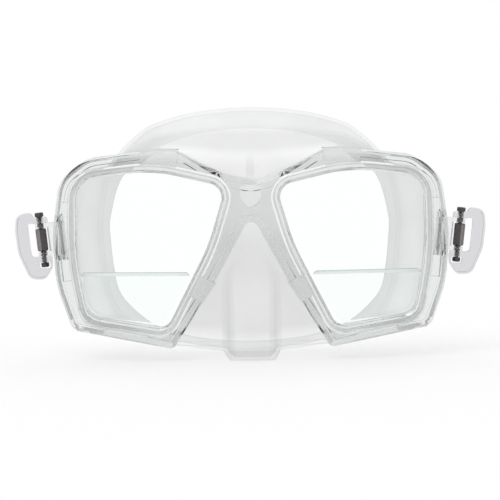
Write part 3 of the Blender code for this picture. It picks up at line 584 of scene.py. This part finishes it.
def finish_node(node, material, body, bevel=0.0, segments=2):
    """Smooth shaded copy of a CAD node, with its sharp edges rounded when a bevel width is given."""
    mesh_data = bmesh.new()
    mesh_data.from_mesh(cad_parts[node].data)
    bmesh.ops.remove_doubles(mesh_data, verts=mesh_data.verts[:], dist=WELD_DISTANCE)
    if bevel:
        bmesh.ops.dissolve_limit(mesh_data, angle_limit=FLAT_ANGLE, verts=mesh_data.verts[:],
                                 edges=mesh_data.edges[:])
        sharp = [edge for edge in mesh_data.edges if edge.calc_face_angle(0.0) > SMOOTH_ANGLE]
        bmesh.ops.bevel(mesh_data, geom=sharp, offset=bevel, segments=segments, profile=0.5, affect="EDGES",
                        clamp_overlap=True)
    return finish_piece(node + "_finish", mesh_data, material, body, [node])


# Flat outlines


def mirrored(corners):
    """Closes a right-hand outline with its mirror image across x = 0."""
    left = [(-x, z, r) for x, z, r in reversed(corners) if x > 0.0]
    return corners + left


def rounded(corners, inset=0.0):
    """Turns corners in millimetres into outline points with outward normals, in metres.

    An inset outline has the same number of points, and its tight corners keep a small radius.
    """
    points = [Vector((x, z)) * MM for x, z, _ in corners]
    area = sum(a.x * b.y - b.x * a.y for a, b in zip(points, points[1:] + points[:1]))
    outline = []
    for index, point in enumerate(points):
        radius = corners[index][2] * MM
        before = (points[index - 1] - point).normalized()
        after = (points[(index + 1) % len(points)] - point).normalized()
        opening = before.angle(after)
        start = point + before * (radius / math.tan(opening / 2.0))
        middle = point + (before + after).normalized() * (radius / math.sin(opening / 2.0))
        turn = before.x * after.y - before.y * after.x
        outward = 1.0 if turn * area < 0.0 else -1.0
        sweep = math.copysign(math.pi - opening, -turn)
        widest_step = 2.0 * math.acos(1.0 - min(COARSEST_CHORD, CHORD_ERROR / radius))
        steps = max(1, math.ceil(abs(sweep) / widest_step))
        spoke = start - middle
        if inset:
            left = max(radius - inset * outward, LEAST_RADIUS)
            inner = point + (before + after).normalized() * (inset * outward / math.sin(opening / 2.0))
            middle = inner + (before + after).normalized() * (left / math.sin(opening / 2.0))
            spoke = spoke.normalized() * left
        for step in range(steps + 1):
            angle = sweep * step / steps
            arm = Vector((spoke.x * math.cos(angle) - spoke.y * math.sin(angle),
                          spoke.x * math.sin(angle) + spoke.y * math.cos(angle)))
            outline.append((middle + arm, arm.normalized() * outward))
    return outline


def subdivided(outline, guide=None):
    """Adds points on the long stretches of an outline or its guide, close together over the nose."""
    guide = guide or outline
    result = []
    for index, (here, normal) in enumerate(outline):
        there, other = outline[(index + 1) % len(outline)]
        start = guide[index][0]
        end = guide[(index + 1) % len(guide)][0]
        at_crown = start.y > 0.0 and min(abs(start.x), abs(end.x)) < CROWN_HALF
        parts = max(1, math.ceil((end - start).length / (CROWN_STEP if at_crown else OUTLINE_STEP)))
        for part in range(parts):
            share = part / parts
            result.append((here.lerp(there, share), normal.lerp(other, share).normalized()))
    return result


def offset(outline, distance):
    return [point + normal * distance for point, normal in outline]


def flipped(outline):
    """Mirrors an outline to the other side of x = 0."""
    return [(Vector((-p.x, p.y)), Vector((-n.x, n.y))) for p, n in outline]


def inside(polygon, point):
    hit = False
    for a, b in zip(polygon, polygon[1:] + polygon[:1]):
        if (a.y > point.y) != (b.y > point.y):
            if point.x < a.x + (point.y - a.y) * (b.x - a.x) / (b.y - a.y):
                hit = not hit
    return hit


def clearance(polygon, point):
    """Least distance from a point to the edges of a polygon."""
    least = math.inf
    for a, b in zip(polygon, polygon[1:] + polygon[:1]):
        edge = b - a
        share = max(0.0, min(1.0, (point - a).dot(edge) / edge.length_squared))
        least = min(least, (point - a - edge * share).length)
    return least


# Lens planes


def front_y(x, z):
    """Y of the frame front: two planes swept back from a rounded ridge at the nose."""
    reach = abs(x)
    if reach < SWEEP_BLEND:
        reach = (x * x + SWEEP_BLEND * SWEEP_BLEND) / (2.0 * SWEEP_BLEND)
    return FRAME_FRONT_Y + SWEEP * reach - LENS_LEAN * z


def lens_loop(points, depth):
    return [Vector((p.x, front_y(p.x, p.y) + depth, p.y)) for p in points]


def flat_loop(points, depth):
    return [Vector((p.x, depth, p.y)) for p in points]


# Retainers and frame


def with_tab_ends(outline):
    """Puts a close pair of points in the window outline at both ends of each retainer tab."""
    result = list(outline)
    for direction, axis, span, _ in TABS:
        for bound in span:
            mark = bound * MM
            for index in range(len(result)):
                here, normal = result[index]
                there, other = result[(index + 1) % len(result)]
                faces_tab = normal.dot(Vector(direction)) > TAB_EDGE_COSINE
                if faces_tab and (here[axis] - mark) * (there[axis] - mark) < 0.0:
                    share = (mark - here[axis]) / (there[axis] - here[axis])
                    nudge = TAB_END / (there - here).length
                    pair = [(here.lerp(there, share + side), normal.lerp(other, share + side).normalized())
                            for side in (-nudge, nudge)]
                    first = index + 1 if share > nudge else index
                    last = index + 2 if share + nudge > 1.0 else index + 1
                    result[first:last] = pair
                    break
    return result


def tab_reach(point, normal):
    """Width of the retainer at a window point: its rim, or the reach of the tab there."""
    for direction, axis, span, reach in TABS:
        share = (point[axis] / MM - span[0]) / (span[1] - span[0])
        if normal.dot(Vector(direction)) > TAB_EDGE_COSINE and 0.0 < share < 1.0:
            return (reach[0] + (reach[1] - reach[0]) * share) * MM
    return TAB_LEAST


def widened(window, reaches, extra):
    return [point + normal * (reach + extra) for (point, normal), reach in zip(window, reaches)]


def loft(mesh_data, loops, wrap=False):
    """Joins loops of equal length in order, back to the first one or with flat ends."""
    rings = [[mesh_data.verts.new(point) for point in loop] for loop in loops]
    if wrap:
        add_rings(mesh_data, rings + rings[:1])
    else:
        mesh_data.faces.new(rings[0])
        mesh_data.faces.new(rings[-1])
        add_rings(mesh_data, rings)
    return mesh_data


def make_retainer(side, window, reaches, material):
    rim = offset(window, RETAINER_RIM)
    tabs = widened(window, reaches, 0.0)
    plain = offset(window, 0.0)
    loops = [lens_loop(offset(window, RETAINER_CHAMFER), RETAINER_FRONT),
             lens_loop(widened(window, reaches, -RETAINER_BEVEL), RETAINER_FRONT),
             lens_loop(tabs, RETAINER_FRONT + RETAINER_BEVEL),
             lens_loop(tabs, TAB_BACK),
             lens_loop(rim, TAB_BACK),
             lens_loop(rim, RETAINER_BACK),
             lens_loop(plain, RETAINER_BACK),
             lens_loop(plain, RETAINER_FRONT + RETAINER_CHAMFER)]
    node = side + "_lens_retainer"
    ring = loft(bmesh.new(), loops, wrap=True)
    finish_piece(node + "_finish", ring, material, "mask", [node])


def bridge_share(point):
    """How much a point of the outline belongs to the top of the bridge: 1 at its middle, 0 away from it."""
    if point.y < BRIDGE_TOP_LEAST_Z or abs(point.x) > BRIDGE_SLOPE_REACH:
        return 0.0
    return math.cos(math.pi / 2.0 * point.x / BRIDGE_SLOPE_REACH)


def frame_loop(inset, depth, slope=0.0):
    """Outer loop of the frame, set in from its outline and lower along the sloping top of the bridge."""
    outline = rounded(mirrored(FRAME_CORNERS))
    inner = subdivided(rounded(mirrored(FRAME_CORNERS), inset), outline)
    return flat_loop([point - normal * (slope * bridge_share(point)) for point, normal in inner], depth)


def as_object(name, mesh_data):
    bmesh.ops.recalc_face_normals(mesh_data, faces=mesh_data.faces[:])
    mesh = bpy.data.meshes.new(name)
    mesh_data.to_mesh(mesh)
    mesh_data.free()
    return link(bpy.data.objects.new(name, mesh))


def combined(target, tools, operation):
    """Boolean of an object with its tools, as a mesh in memory. All the objects are removed."""
    for tool in tools:
        modifier = target.modifiers.new(operation.lower(), "BOOLEAN")
        modifier.operation = operation
        modifier.solver = "EXACT"
        modifier.object = tool
    graph = bpy.context.evaluated_depsgraph_get()
    mesh_data = bmesh.new()
    mesh_data.from_object(target, graph)
    for used in [target] + tools:
        bpy.data.objects.remove(used, do_unlink=True)
    return mesh_data


def lens_seat(window, reaches):
    """Cutter for one lens seat: the recess of the retainer tabs, the lens pocket and the ledge behind it."""
    seat = widened(window, reaches, TAB_CLEARANCE)
    pocket = offset(window, POCKET_RIM)
    ledge = offset(window, LEDGE_RIM)
    loops = [flat_loop(seat, -CUTTER_OVERRUN), flat_loop(seat, TAB_BACK + GAP),
             flat_loop(pocket, TAB_BACK + GAP), flat_loop(pocket, LEDGE_FRONT),
             flat_loop(ledge, LEDGE_FRONT), flat_loop(ledge, FRAME_DEPTH + CUTTER_OVERRUN)]
    return as_object("lens_seat", loft(bmesh.new(), loops))


def buckle_point(side, out, back, up):
    """World place of a point in a buckle's local frame, on the right (1) or the left (-1)."""
    lean = math.sin(AXLE_TILT)
    rise = math.cos(AXLE_TILT)
    return Vector((side * (AXLE_X + out * rise + up * lean), AXLE_Y + back, AXLE_Z - out * lean + up * rise))


def upright_loop(side, profile, up):
    """Loop of points given as out and back, at one height along the axle."""
    return [buckle_point(side, p.x, p.y, up) for p in profile]


def arc(centre, radius, first, sweep, steps):
    turns = [first + sweep * index / steps for index in range(steps)]
    return [centre + Vector((math.cos(turn), math.sin(turn))) * radius for turn in turns]


def frame_lug(side, low, high):
    """Lug with the hole for the swivel pin."""
    pin = Vector((PIN_OUT, PIN_BACK))
    root = Vector((LUG_ROOT_OUT, LUG_ROOT_BACK))
    heading = math.atan2(root.y - pin.y, root.x - pin.x)
    half = ROUND_SIDES // 2
    body = (arc(pin, LUG_RADIUS, heading + math.pi / 2.0, math.pi, half)
            + arc(root, LUG_RADIUS, heading - math.pi / 2.0, math.pi, half))
    hole = arc(pin, PIN_HOLE_RADIUS, 0.0, 2.0 * math.pi, ROUND_SIDES)
    lug = as_object("lug", loft(bmesh.new(), [upright_loop(side, body, low), upright_loop(side, body, high)]))
    drill = as_object("lug_hole", loft(bmesh.new(), [upright_loop(side, hole, low - CUTTER_OVERRUN),
                                                     upright_loop(side, hole, high + CUTTER_OVERRUN)]))
    return as_object("lug", combined(lug, [drill], "DIFFERENCE"))


def bend(mesh_data):
    """Cuts the flat frame across the nose and moves every point onto the swept lens planes."""
    for index in range(BEND_CUTS):
        share = 2.0 * index / (BEND_CUTS - 1) - 1.0
        geometry = mesh_data.verts[:] + mesh_data.edges[:] + mesh_data.faces[:]
        bmesh.ops.bisect_plane(mesh_data, geom=geometry, dist=WELD_DISTANCE,
                               plane_co=(share * SWEEP_BLEND, 0.0, 0.0), plane_no=(1.0, 0.0, 0.0))
    for vertex in mesh_data.verts:
        vertex.co.y += front_y(vertex.co.x, vertex.co.z)
    return mesh_data


def make_frame(windows, reaches, material):
    outer = [frame_loop(FRAME_STEP_INSET, 0.0, BRIDGE_SLOPE),
             frame_loop(FRAME_STEP_INSET - FRAME_STEP_SLOPE, FRAME_STEP, BRIDGE_SLOPE),
             frame_loop(FRAME_FRONT_BEVEL, FRAME_STEP, BRIDGE_SLOPE),
             frame_loop(0.0, FRAME_STEP + FRAME_FRONT_BEVEL_DEPTH),
             frame_loop(FRAME_REAR_DRAFT, FRAME_DEPTH)]
    plate = as_object("plate", loft(bmesh.new(), outer))
    hollow = offset(rounded(mirrored(BRIDGE_HOLLOW_CORNERS)), 0.0)
    tools = [lens_seat(window, reaches) for window in windows]
    tools.append(as_object("hollow", loft(bmesh.new(), [flat_loop(hollow, BRIDGE_HOLLOW_FLOOR),
                                                        flat_loop(hollow, FRAME_DEPTH + CUTTER_OVERRUN)])))
    body = as_object("body", bend(combined(plate, tools, "DIFFERENCE")))
    low, high = LUG_SPAN
    lugs = [frame_lug(side, *span) for side in (1.0, -1.0) for span in ((low, high), (-high, -low))]
    whole = combined(body, lugs, "UNION")
    finish_piece("main_frame_finish", whole, material, "mask", ["main_frame"])


# Skirt


def nose_half_width(z):
    """Half width of the nose pocket, which narrows upward between the frame legs."""
    room = NOSE_LEG_SLOPE * (NOSE_LEG_APEX - z) - NOSE_LEG_CLEARANCE
    return max(0.0, min(NOSE_HALF_WIDTH, room))


def nose_bulge(x, z, wall):
    """How far the nose pocket stands forward of the skirt web, on a skin set in by a wall."""
    across = smooth((nose_half_width(z) - wall + NOSE_SIDE - abs(x)) / NOSE_SIDE)
    chin = NOSE_CHIN_ROUND * max(0.0, (NOSE_CHIN - z) / NOSE_CHIN_HEIGHT) ** 2
    return across * max(0.0, NOSE_REACH * smooth((NOSE_TOP - z) / NOSE_RAMP) - chin)


def web_point(point, wall):
    depth = WEB_FRONT - nose_bulge(point.x, point.y, wall)
    if wall > 0.0:
        depth += WEB_THICKNESS
    return Vector((point.x, front_y(point.x, point.y) + depth, point.y))


def web_grid(border, holes, wall):
    """Rows of points between the lens holes, closest on the sides of the nose pocket."""
    points = []
    rows = math.ceil(max(abs(p.y) for p in border) / WEB_ROW)
    for row in range(-rows, rows):
        z = row * WEB_ROW
        half = max(0.0, nose_half_width(z) - wall)
        middle = [half * part / WEB_COLUMNS for part in range(WEB_COLUMNS)]
        sides = [half + NOSE_SIDE * part / NOSE_SIDE_STEPS for part in range(NOSE_SIDE_STEPS + 1)]
        beyond = [sides[-1] + WEB_ROW * part for part in range(1, math.ceil(WEB_REACH / WEB_ROW))]
        steps = sorted(set(middle + sides + beyond))
        for x in [-step for step in steps if step > 0.0] + steps:
            point = Vector((x, z))
            if not inside(border, point) or clearance(border, point) < WEB_MARGIN:
                continue
            if all(not inside(hole, point) and clearance(hole, point) > WEB_MARGIN for hole in holes):
                points.append(point)
    return points


def web_triangles(border, holes, extra):
    """Triangulates the web between its border and the lens holes, spreading from a point inside it."""
    points = border + [p for hole in holes for p in hole] + extra
    edges = []
    start = 0
    for ring in [border] + holes:
        count = len(ring)
        edges += [(start + i, start + (i + 1) % count) for i in range(count)]
        start += count
    _, _, faces, origins, _, _ = delaunay_2d_cdt(points, edges, [], 0, WELD_DISTANCE)
    triangles = [[origins[index][0] for index in face] for face in faces]
    bounds = {frozenset(edge) for edge in edges}
    sharing = {}
    for index, triangle in enumerate(triangles):
        for side in range(3):
            sharing.setdefault(frozenset((triangle[side - 1], triangle[side])), []).append(index)
    reached = {next(index for index, triangle in enumerate(triangles) if start in triangle)}
    waiting = list(reached)
    while waiting:
        triangle = triangles[waiting.pop()]
        for side in range(3):
            edge = frozenset((triangle[side - 1], triangle[side]))
            found = set() if edge in bounds else set(sharing[edge]) - reached
            reached |= found
            waiting += found
    return points, [triangles[index] for index in reached]


def catmull_rom(points, steps):
    """Closed smooth curve through the points."""
    curve = []
    count = len(points)
    for index in range(count):
        a, b, c, d = (points[(index + shift) % count] for shift in (-1, 0, 1, 2))
        for step in range(steps):
            t = step / steps
            curve.append(0.5 * (2.0 * b + (c - a) * t + (2.0 * a - 5.0 * b + 4.0 * c - d) * t * t
                                + (3.0 * b - a - 3.0 * c + d) * t * t * t))
    return curve


def face_edge_at(points):
    """Face edge of the skirt in the same directions from the middle as the given points."""
    right = [Vector((x, depth, z)) * MM for x, z, depth in FACE_EDGE]
    left = [Vector((-p.x, p.y, p.z)) for p in reversed(right) if p.x > 0.0]
    edge = catmull_rom(right + left, FACE_EDGE_STEPS)
    curve = sorted((math.atan2(p.x, p.z), p.x, p.y, p.z) for p in edge)
    full_turn = 2.0 * math.pi
    before = (curve[-1][0] - full_turn, *curve[-1][1:])
    after = (curve[0][0] + full_turn, *curve[0][1:])
    curve = [before] + curve + [after]
    result = []
    for point in points:
        angle = math.atan2(point.x, point.y)
        low, high = next((a, b) for a, b in zip(curve, curve[1:]) if a[0] <= angle <= b[0])
        share = (angle - low[0]) / (high[0] - low[0])
        x, depth, z = (a + (b - a) * share for a, b in zip(low[1:], high[1:]))
        result.append(Vector((x, FRAME_FRONT_Y + depth, z)))
    return result


def inward(loop):
    """Unit direction towards the middle for every point of a closed loop, seen from the front."""
    result = []
    for index, point in enumerate(loop):
        run = loop[(index + 1) % len(loop)] - loop[index - 1]
        normal = Vector((-run.z, 0.0, run.x)).normalized()
        if normal.x * point.x + normal.z * point.z > 0.0:
            normal = -normal
        result.append(normal)
    return result


def rib_share(point, share):
    """1 on the rib in the middle of the forehead, 0 away from it."""
    if point.z < 0.0:
        return 0.0
    across = smooth((RIB_HALF_WIDTH + RIB_EDGE - abs(point.x)) / RIB_EDGE)
    return across * smooth((RIB_REACH - share) / PAD_EDGE)


def forehead_relief(point, share):
    """Height of the rib and of the pad around it on the forehead wall."""
    if point.z < 0.0:
        return 0.0
    across = (abs(point.x) / PAD_HALF_WIDTH) ** PAD_SQUARENESS + (share / PAD_REACH) ** PAD_SQUARENESS
    pad = smooth((1.0 - across) / PAD_EDGE)
    return RIB_HEIGHT * rib_share(point, share) + PAD_HEIGHT * pad


def wall_loops(front, back, relief):
    """Loops of the skirt wall between its front border and its face edge."""
    loops = []
    for step in range(1, WALL_STEPS):
        share = step / WALL_STEPS
        eased = smooth(share)
        loop = []
        for a, b in zip(front, back):
            point = Vector((a.x + (b.x - a.x) * eased, a.y + (b.y - a.y) * share, a.z + (b.z - a.z) * eased))
            if relief:
                point.z += forehead_relief(point, share)
            loop.append(point)
        loops.append(loop)
    return loops


def corner_extra(direction):
    """Extra width of the flange at the corners of the face opening, where its edge runs at a slant."""
    most = FLANGE_EXTRA_BROW if direction.z < 0.0 else FLANGE_EXTRA_CHEEK
    return most * (2.0 * direction.x * direction.z) ** 2


def flange_loops(edge, directions):
    """Rolled flange: out over its crest to the thin lip, and back along its underside."""
    widths = [FLANGE_WIDTH + FLANGE_EXTRA_TOP * max(0.0, -d.z) ** 2 + corner_extra(d) for d in directions]
    outer = []
    inner = []
    for step in range(FLANGE_STEPS + 1):
        share = step / FLANGE_STEPS
        back = FLANGE_RISE * share - FLANGE_FALL * share * share
        thick = FLANGE_THICK + (LIP_THICK - FLANGE_THICK) * share
        outer.append([p + d * w * share + Vector((0.0, back, 0.0))
                      for p, d, w in zip(edge, directions, widths)])
        if step:
            inner.append([p + d * max(WALL, w * share) + Vector((0.0, back - thick, 0.0))
                          for p, d, w in zip(edge, directions, widths)])
    root = [p + d * WALL + Vector((0.0, -FLANGE_THICK, 0.0)) for p, d in zip(edge, directions)]
    return outer + inner[::-1], root


def add_rings(mesh_data, rings):
    count = len(rings[0])
    for low, high in zip(rings, rings[1:]):
        for index in range(count):
            after = (index + 1) % count
            mesh_data.faces.new((low[index], low[after], high[after], high[index]))


def blend(value, span):
    """Smooth share of the way from the first end of a span to the second."""
    return smooth((value - span[0]) / (span[1] - span[0]))


def web_tone(point):
    nose = blend(point.z, NOSE_BLEND_UP) * blend(abs(point.x), NOSE_BLEND_OUT)
    tone = WEB_TONE + (NOSE_TONE - WEB_TONE) * nose
    return tone + (min(tone, CHIN_WEB_TONE) - tone) * blend(point.z, CHIN_BLEND)


def around_tone(point, side, top):
    """Tone of the wall or flange: its own at the sides and the forehead, and light under the chin."""
    tone = side + (top - side) * blend(point.z, FOREHEAD_BLEND)
    return tone + (CHIN_TONE - tone) * blend(point.z, CHIN_BLEND)


def wall_tone(point, share):
    """Light on the pad over the nose, deeper on the forehead and light again at its edge, with painted shade
    that darkens the rib.
    """
    top = PAD_TONE + (FOREHEAD_TONE - PAD_TONE) * blend(share, PAD_END)
    top += (FOREHEAD_EDGE_TONE - top) * blend(share, FOREHEAD_EDGE)
    # The rib gets painted shade, a darker tone over its relief.
    return around_tone(point, SIDE_WALL_TONE, top) + RIB_PAINTED_SHADE * rib_share(point, share)


def flange_tone(point):
    return around_tone(point, SIDE_FLANGE_TONE, FOREHEAD_FLANGE_TONE)


def new_ring(mesh_data, points, tone):
    """Adds a loop of vertices with the tone that a function gives each of them."""
    layer = mesh_data.verts.layers.float["depth_and_rib_shade"]
    ring = []
    for point in points:
        vertex = mesh_data.verts.new(point)
        vertex[layer] = tone(point)
        ring.append(vertex)
    return ring


def make_skirt(windows, material):
    outline = subdivided(rounded(mirrored(SKIRT_FRONT_CORNERS)))
    count = len(outline)
    mesh_data = bmesh.new()
    # The tone layer holds the depth of the silicone and the painted shade on the forehead rib.
    mesh_data.verts.layers.float.new("depth_and_rib_shade")
    skins = []
    for ring, rim, wall in ((offset(outline, 0.0), SLEEVE_RIM, 0.0),
                            (offset(outline, -WALL), SLEEVE_BORE, NOSE_WALL)):
        holes = [offset(window, rim) for window in windows]
        points, triangles = web_triangles(ring, holes, web_grid(ring, holes, wall))
        verts = new_ring(mesh_data, [web_point(point, wall) for point in points], web_tone)
        for corners in triangles:
            mesh_data.faces.new([verts[corner] for corner in corners])
        skins.append(verts)
    front_skin, back_skin = skins

    sections = [(SLEEVE_RIM, SOCKET_BACK), (SOCKET_RIM, SOCKET_BACK), (SOCKET_RIM, SOCKET_FRONT),
                (SOCKET_LIP, SOCKET_FRONT), (SOCKET_LIP, SOCKET_BACK - LIP_GAP),
                (SLEEVE_BORE, SOCKET_BACK + LIP_GAP)]
    start = count
    for window in windows:
        size = len(window)
        rings = [front_skin[start:start + size]]
        for distance, depth in sections:
            loop = lens_loop(offset(window, distance), depth)
            rings.append(new_ring(mesh_data, loop, lambda _: SOCKET_TONE))
        rings.append(back_skin[start:start + size])
        add_rings(mesh_data, rings)
        start += size

    face_edge = face_edge_at(offset(outline, 0.0))
    directions = inward(face_edge)
    flange, root = flange_loops(face_edge, directions)
    outer = wall_loops([v.co for v in front_skin[:count]], face_edge, True)
    inner = wall_loops([v.co for v in back_skin[:count]], root, False)
    rings = [front_skin[:count]]
    for step, loop in enumerate(outer, 1):
        rings.append(new_ring(mesh_data, loop, lambda point: wall_tone(point, step / WALL_STEPS)))
    for loop in flange + [root]:
        rings.append(new_ring(mesh_data, loop, flange_tone))
    for step, loop in reversed(list(enumerate(inner, 1))):
        rings.append(new_ring(mesh_data, loop, lambda point: wall_tone(point, step / WALL_STEPS)))
    rings.append(back_skin[:count])
    add_rings(mesh_data, rings)
    bmesh.ops.remove_doubles(mesh_data, verts=mesh_data.verts[:], dist=WELD_DISTANCE)
    finish_piece("skirt_finish", mesh_data, material, "mask", ["skirt"])


# Marked faces and axles


def mark_rear(piece):
    """Marks the faces on the back of a piece, with the bevels beside them."""
    rear = piece.data.attributes.new("rear", "FLOAT", "FACE")
    for polygon, value in zip(piece.data.polygons, rear.data):
        value.value = 1.0 if polygon.normal.y > BACK_FACE else 0.0


def mark_painted_light(piece, side):
    """Marks the slanted faces of a cam that press on the strap and turn forward and outward, for a paler
    colour of painted light.
    """
    painted_light = piece.data.attributes.new("painted_light", "FLOAT", "FACE")
    for polygon, value in zip(piece.data.polygons, painted_light.data):
        # Faces turned outward and towards the front get the paler colour of painted light.
        slanted = polygon.normal.x * side > PAINTED_LIGHT_SLANT and polygon.normal.y < -PAINTED_LIGHT_SLANT
        value.value = 1.0 if slanted else 0.0


def make_axle(name, side, material):
    """Turned axle with collars beside the cam and a domed head."""
    steps = [(AXLE_CORE, AXLE_FOOT)]
    for span in COLLARS:
        low, high = (up * MM for up in span)
        steps += [(AXLE_CORE, low), (COLLAR_RADIUS, low + COLLAR_EDGE),
                  (COLLAR_RADIUS, high - COLLAR_EDGE), (AXLE_CORE, high)]
    low, high = AXLE_HEAD_SPAN
    steps += [(AXLE_HEAD_RADIUS, low), (AXLE_HEAD_RADIUS, high - AXLE_DOME),
              (AXLE_HEAD_RADIUS - AXLE_DOME, high)]
    rounds = [arc(Vector((0.0, 0.0)), radius, 0.0, 2.0 * math.pi, ROUND_SIDES) for radius, _ in steps]
    loops = [upright_loop(side, ring, up) for ring, (_, up) in zip(rounds, steps)]
    node = name + "_cam_axle"
    finish_piece(node + "_finish", loft(bmesh.new(), loops), material, name + "_bracket", [node])


def main():
    bpy.context.scene.view_settings.view_transform = "Standard"
    make_camera()
    studio_world()
    make_floor(cad_box[0].z - FLOOR_GAP)
    make_sun()
    frame_plastic = clear_plastic("clear_frame", FRAME_TINT, FRAME_ROUGHNESS, FRAME_DEPTH_COLOUR,
                                  FRAME_DENSITY)
    retainer_plastic = clear_plastic("clear_retainer", FRAME_TINT, RETAINER_ROUGHNESS, FRAME_DEPTH_COLOUR,
                                     FRAME_DENSITY)
    loop_plastic = clear_plastic("buckle_clear", LOOP_TINT, BUCKLE_ROUGHNESS, BUCKLE_DEPTH_COLOUR,
                                 LOOP_DENSITY)
    glass = lens_glass("lens_glass")
    reader_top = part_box("right_reader_lens")[1].z
    reader = reader_glass("reader_glass", reader_top)
    bracket_plastic = clear_plastic("bracket_clear", BRACKET_TINT, BUCKLE_ROUGHNESS, BUCKLE_DEPTH_COLOUR,
                                    BRACKET_DENSITY)
    black = opaque("cam_black", BLACK, BLACK_ROUGHNESS, 0.0, PAINTED_LIGHT_COLOUR)
    steel = opaque("pin_steel", STEEL, STEEL_ROUGHNESS, 1.0)
    window = subdivided(rounded(WINDOW_CORNERS))
    make_skirt((window, flipped(window)), silicone("silicone"))
    tabbed = with_tab_ends(window)
    reaches = [tab_reach(point, normal) for point, normal in tabbed]
    sides = {"left": flipped(tabbed), "right": tabbed}
    make_frame(sides.values(), reaches, frame_plastic)
    for side, outline in sides.items():
        make_retainer(side, outline, reaches, retainer_plastic)
        finish_node(side + "_lens", glass, "mask")
        mark_rear(finish_node(side + "_reader_lens", reader, "mask"))
        finish_node(side + "_swivel_pin", steel, "mask", PIN_BEVEL)
        finish_node(side + "_buckle_bracket", bracket_plastic, side + "_bracket",
                    BRACKET_BEVEL)
        hand = 1.0 if side == "right" else -1.0
        make_axle(side, hand, black)
        finish_node(side + "_axle_cap", black, side + "_bracket", CAP_BEVEL)
        finish_node(side + "_buckle_loop", loop_plastic, side + "_loop", LOOP_BEVEL,
                    LOOP_BEVEL_SEGMENTS)
        mark_painted_light(finish_node(side + "_strap_cam", black, side + "_cam", CAM_BEVEL), hand)


main()
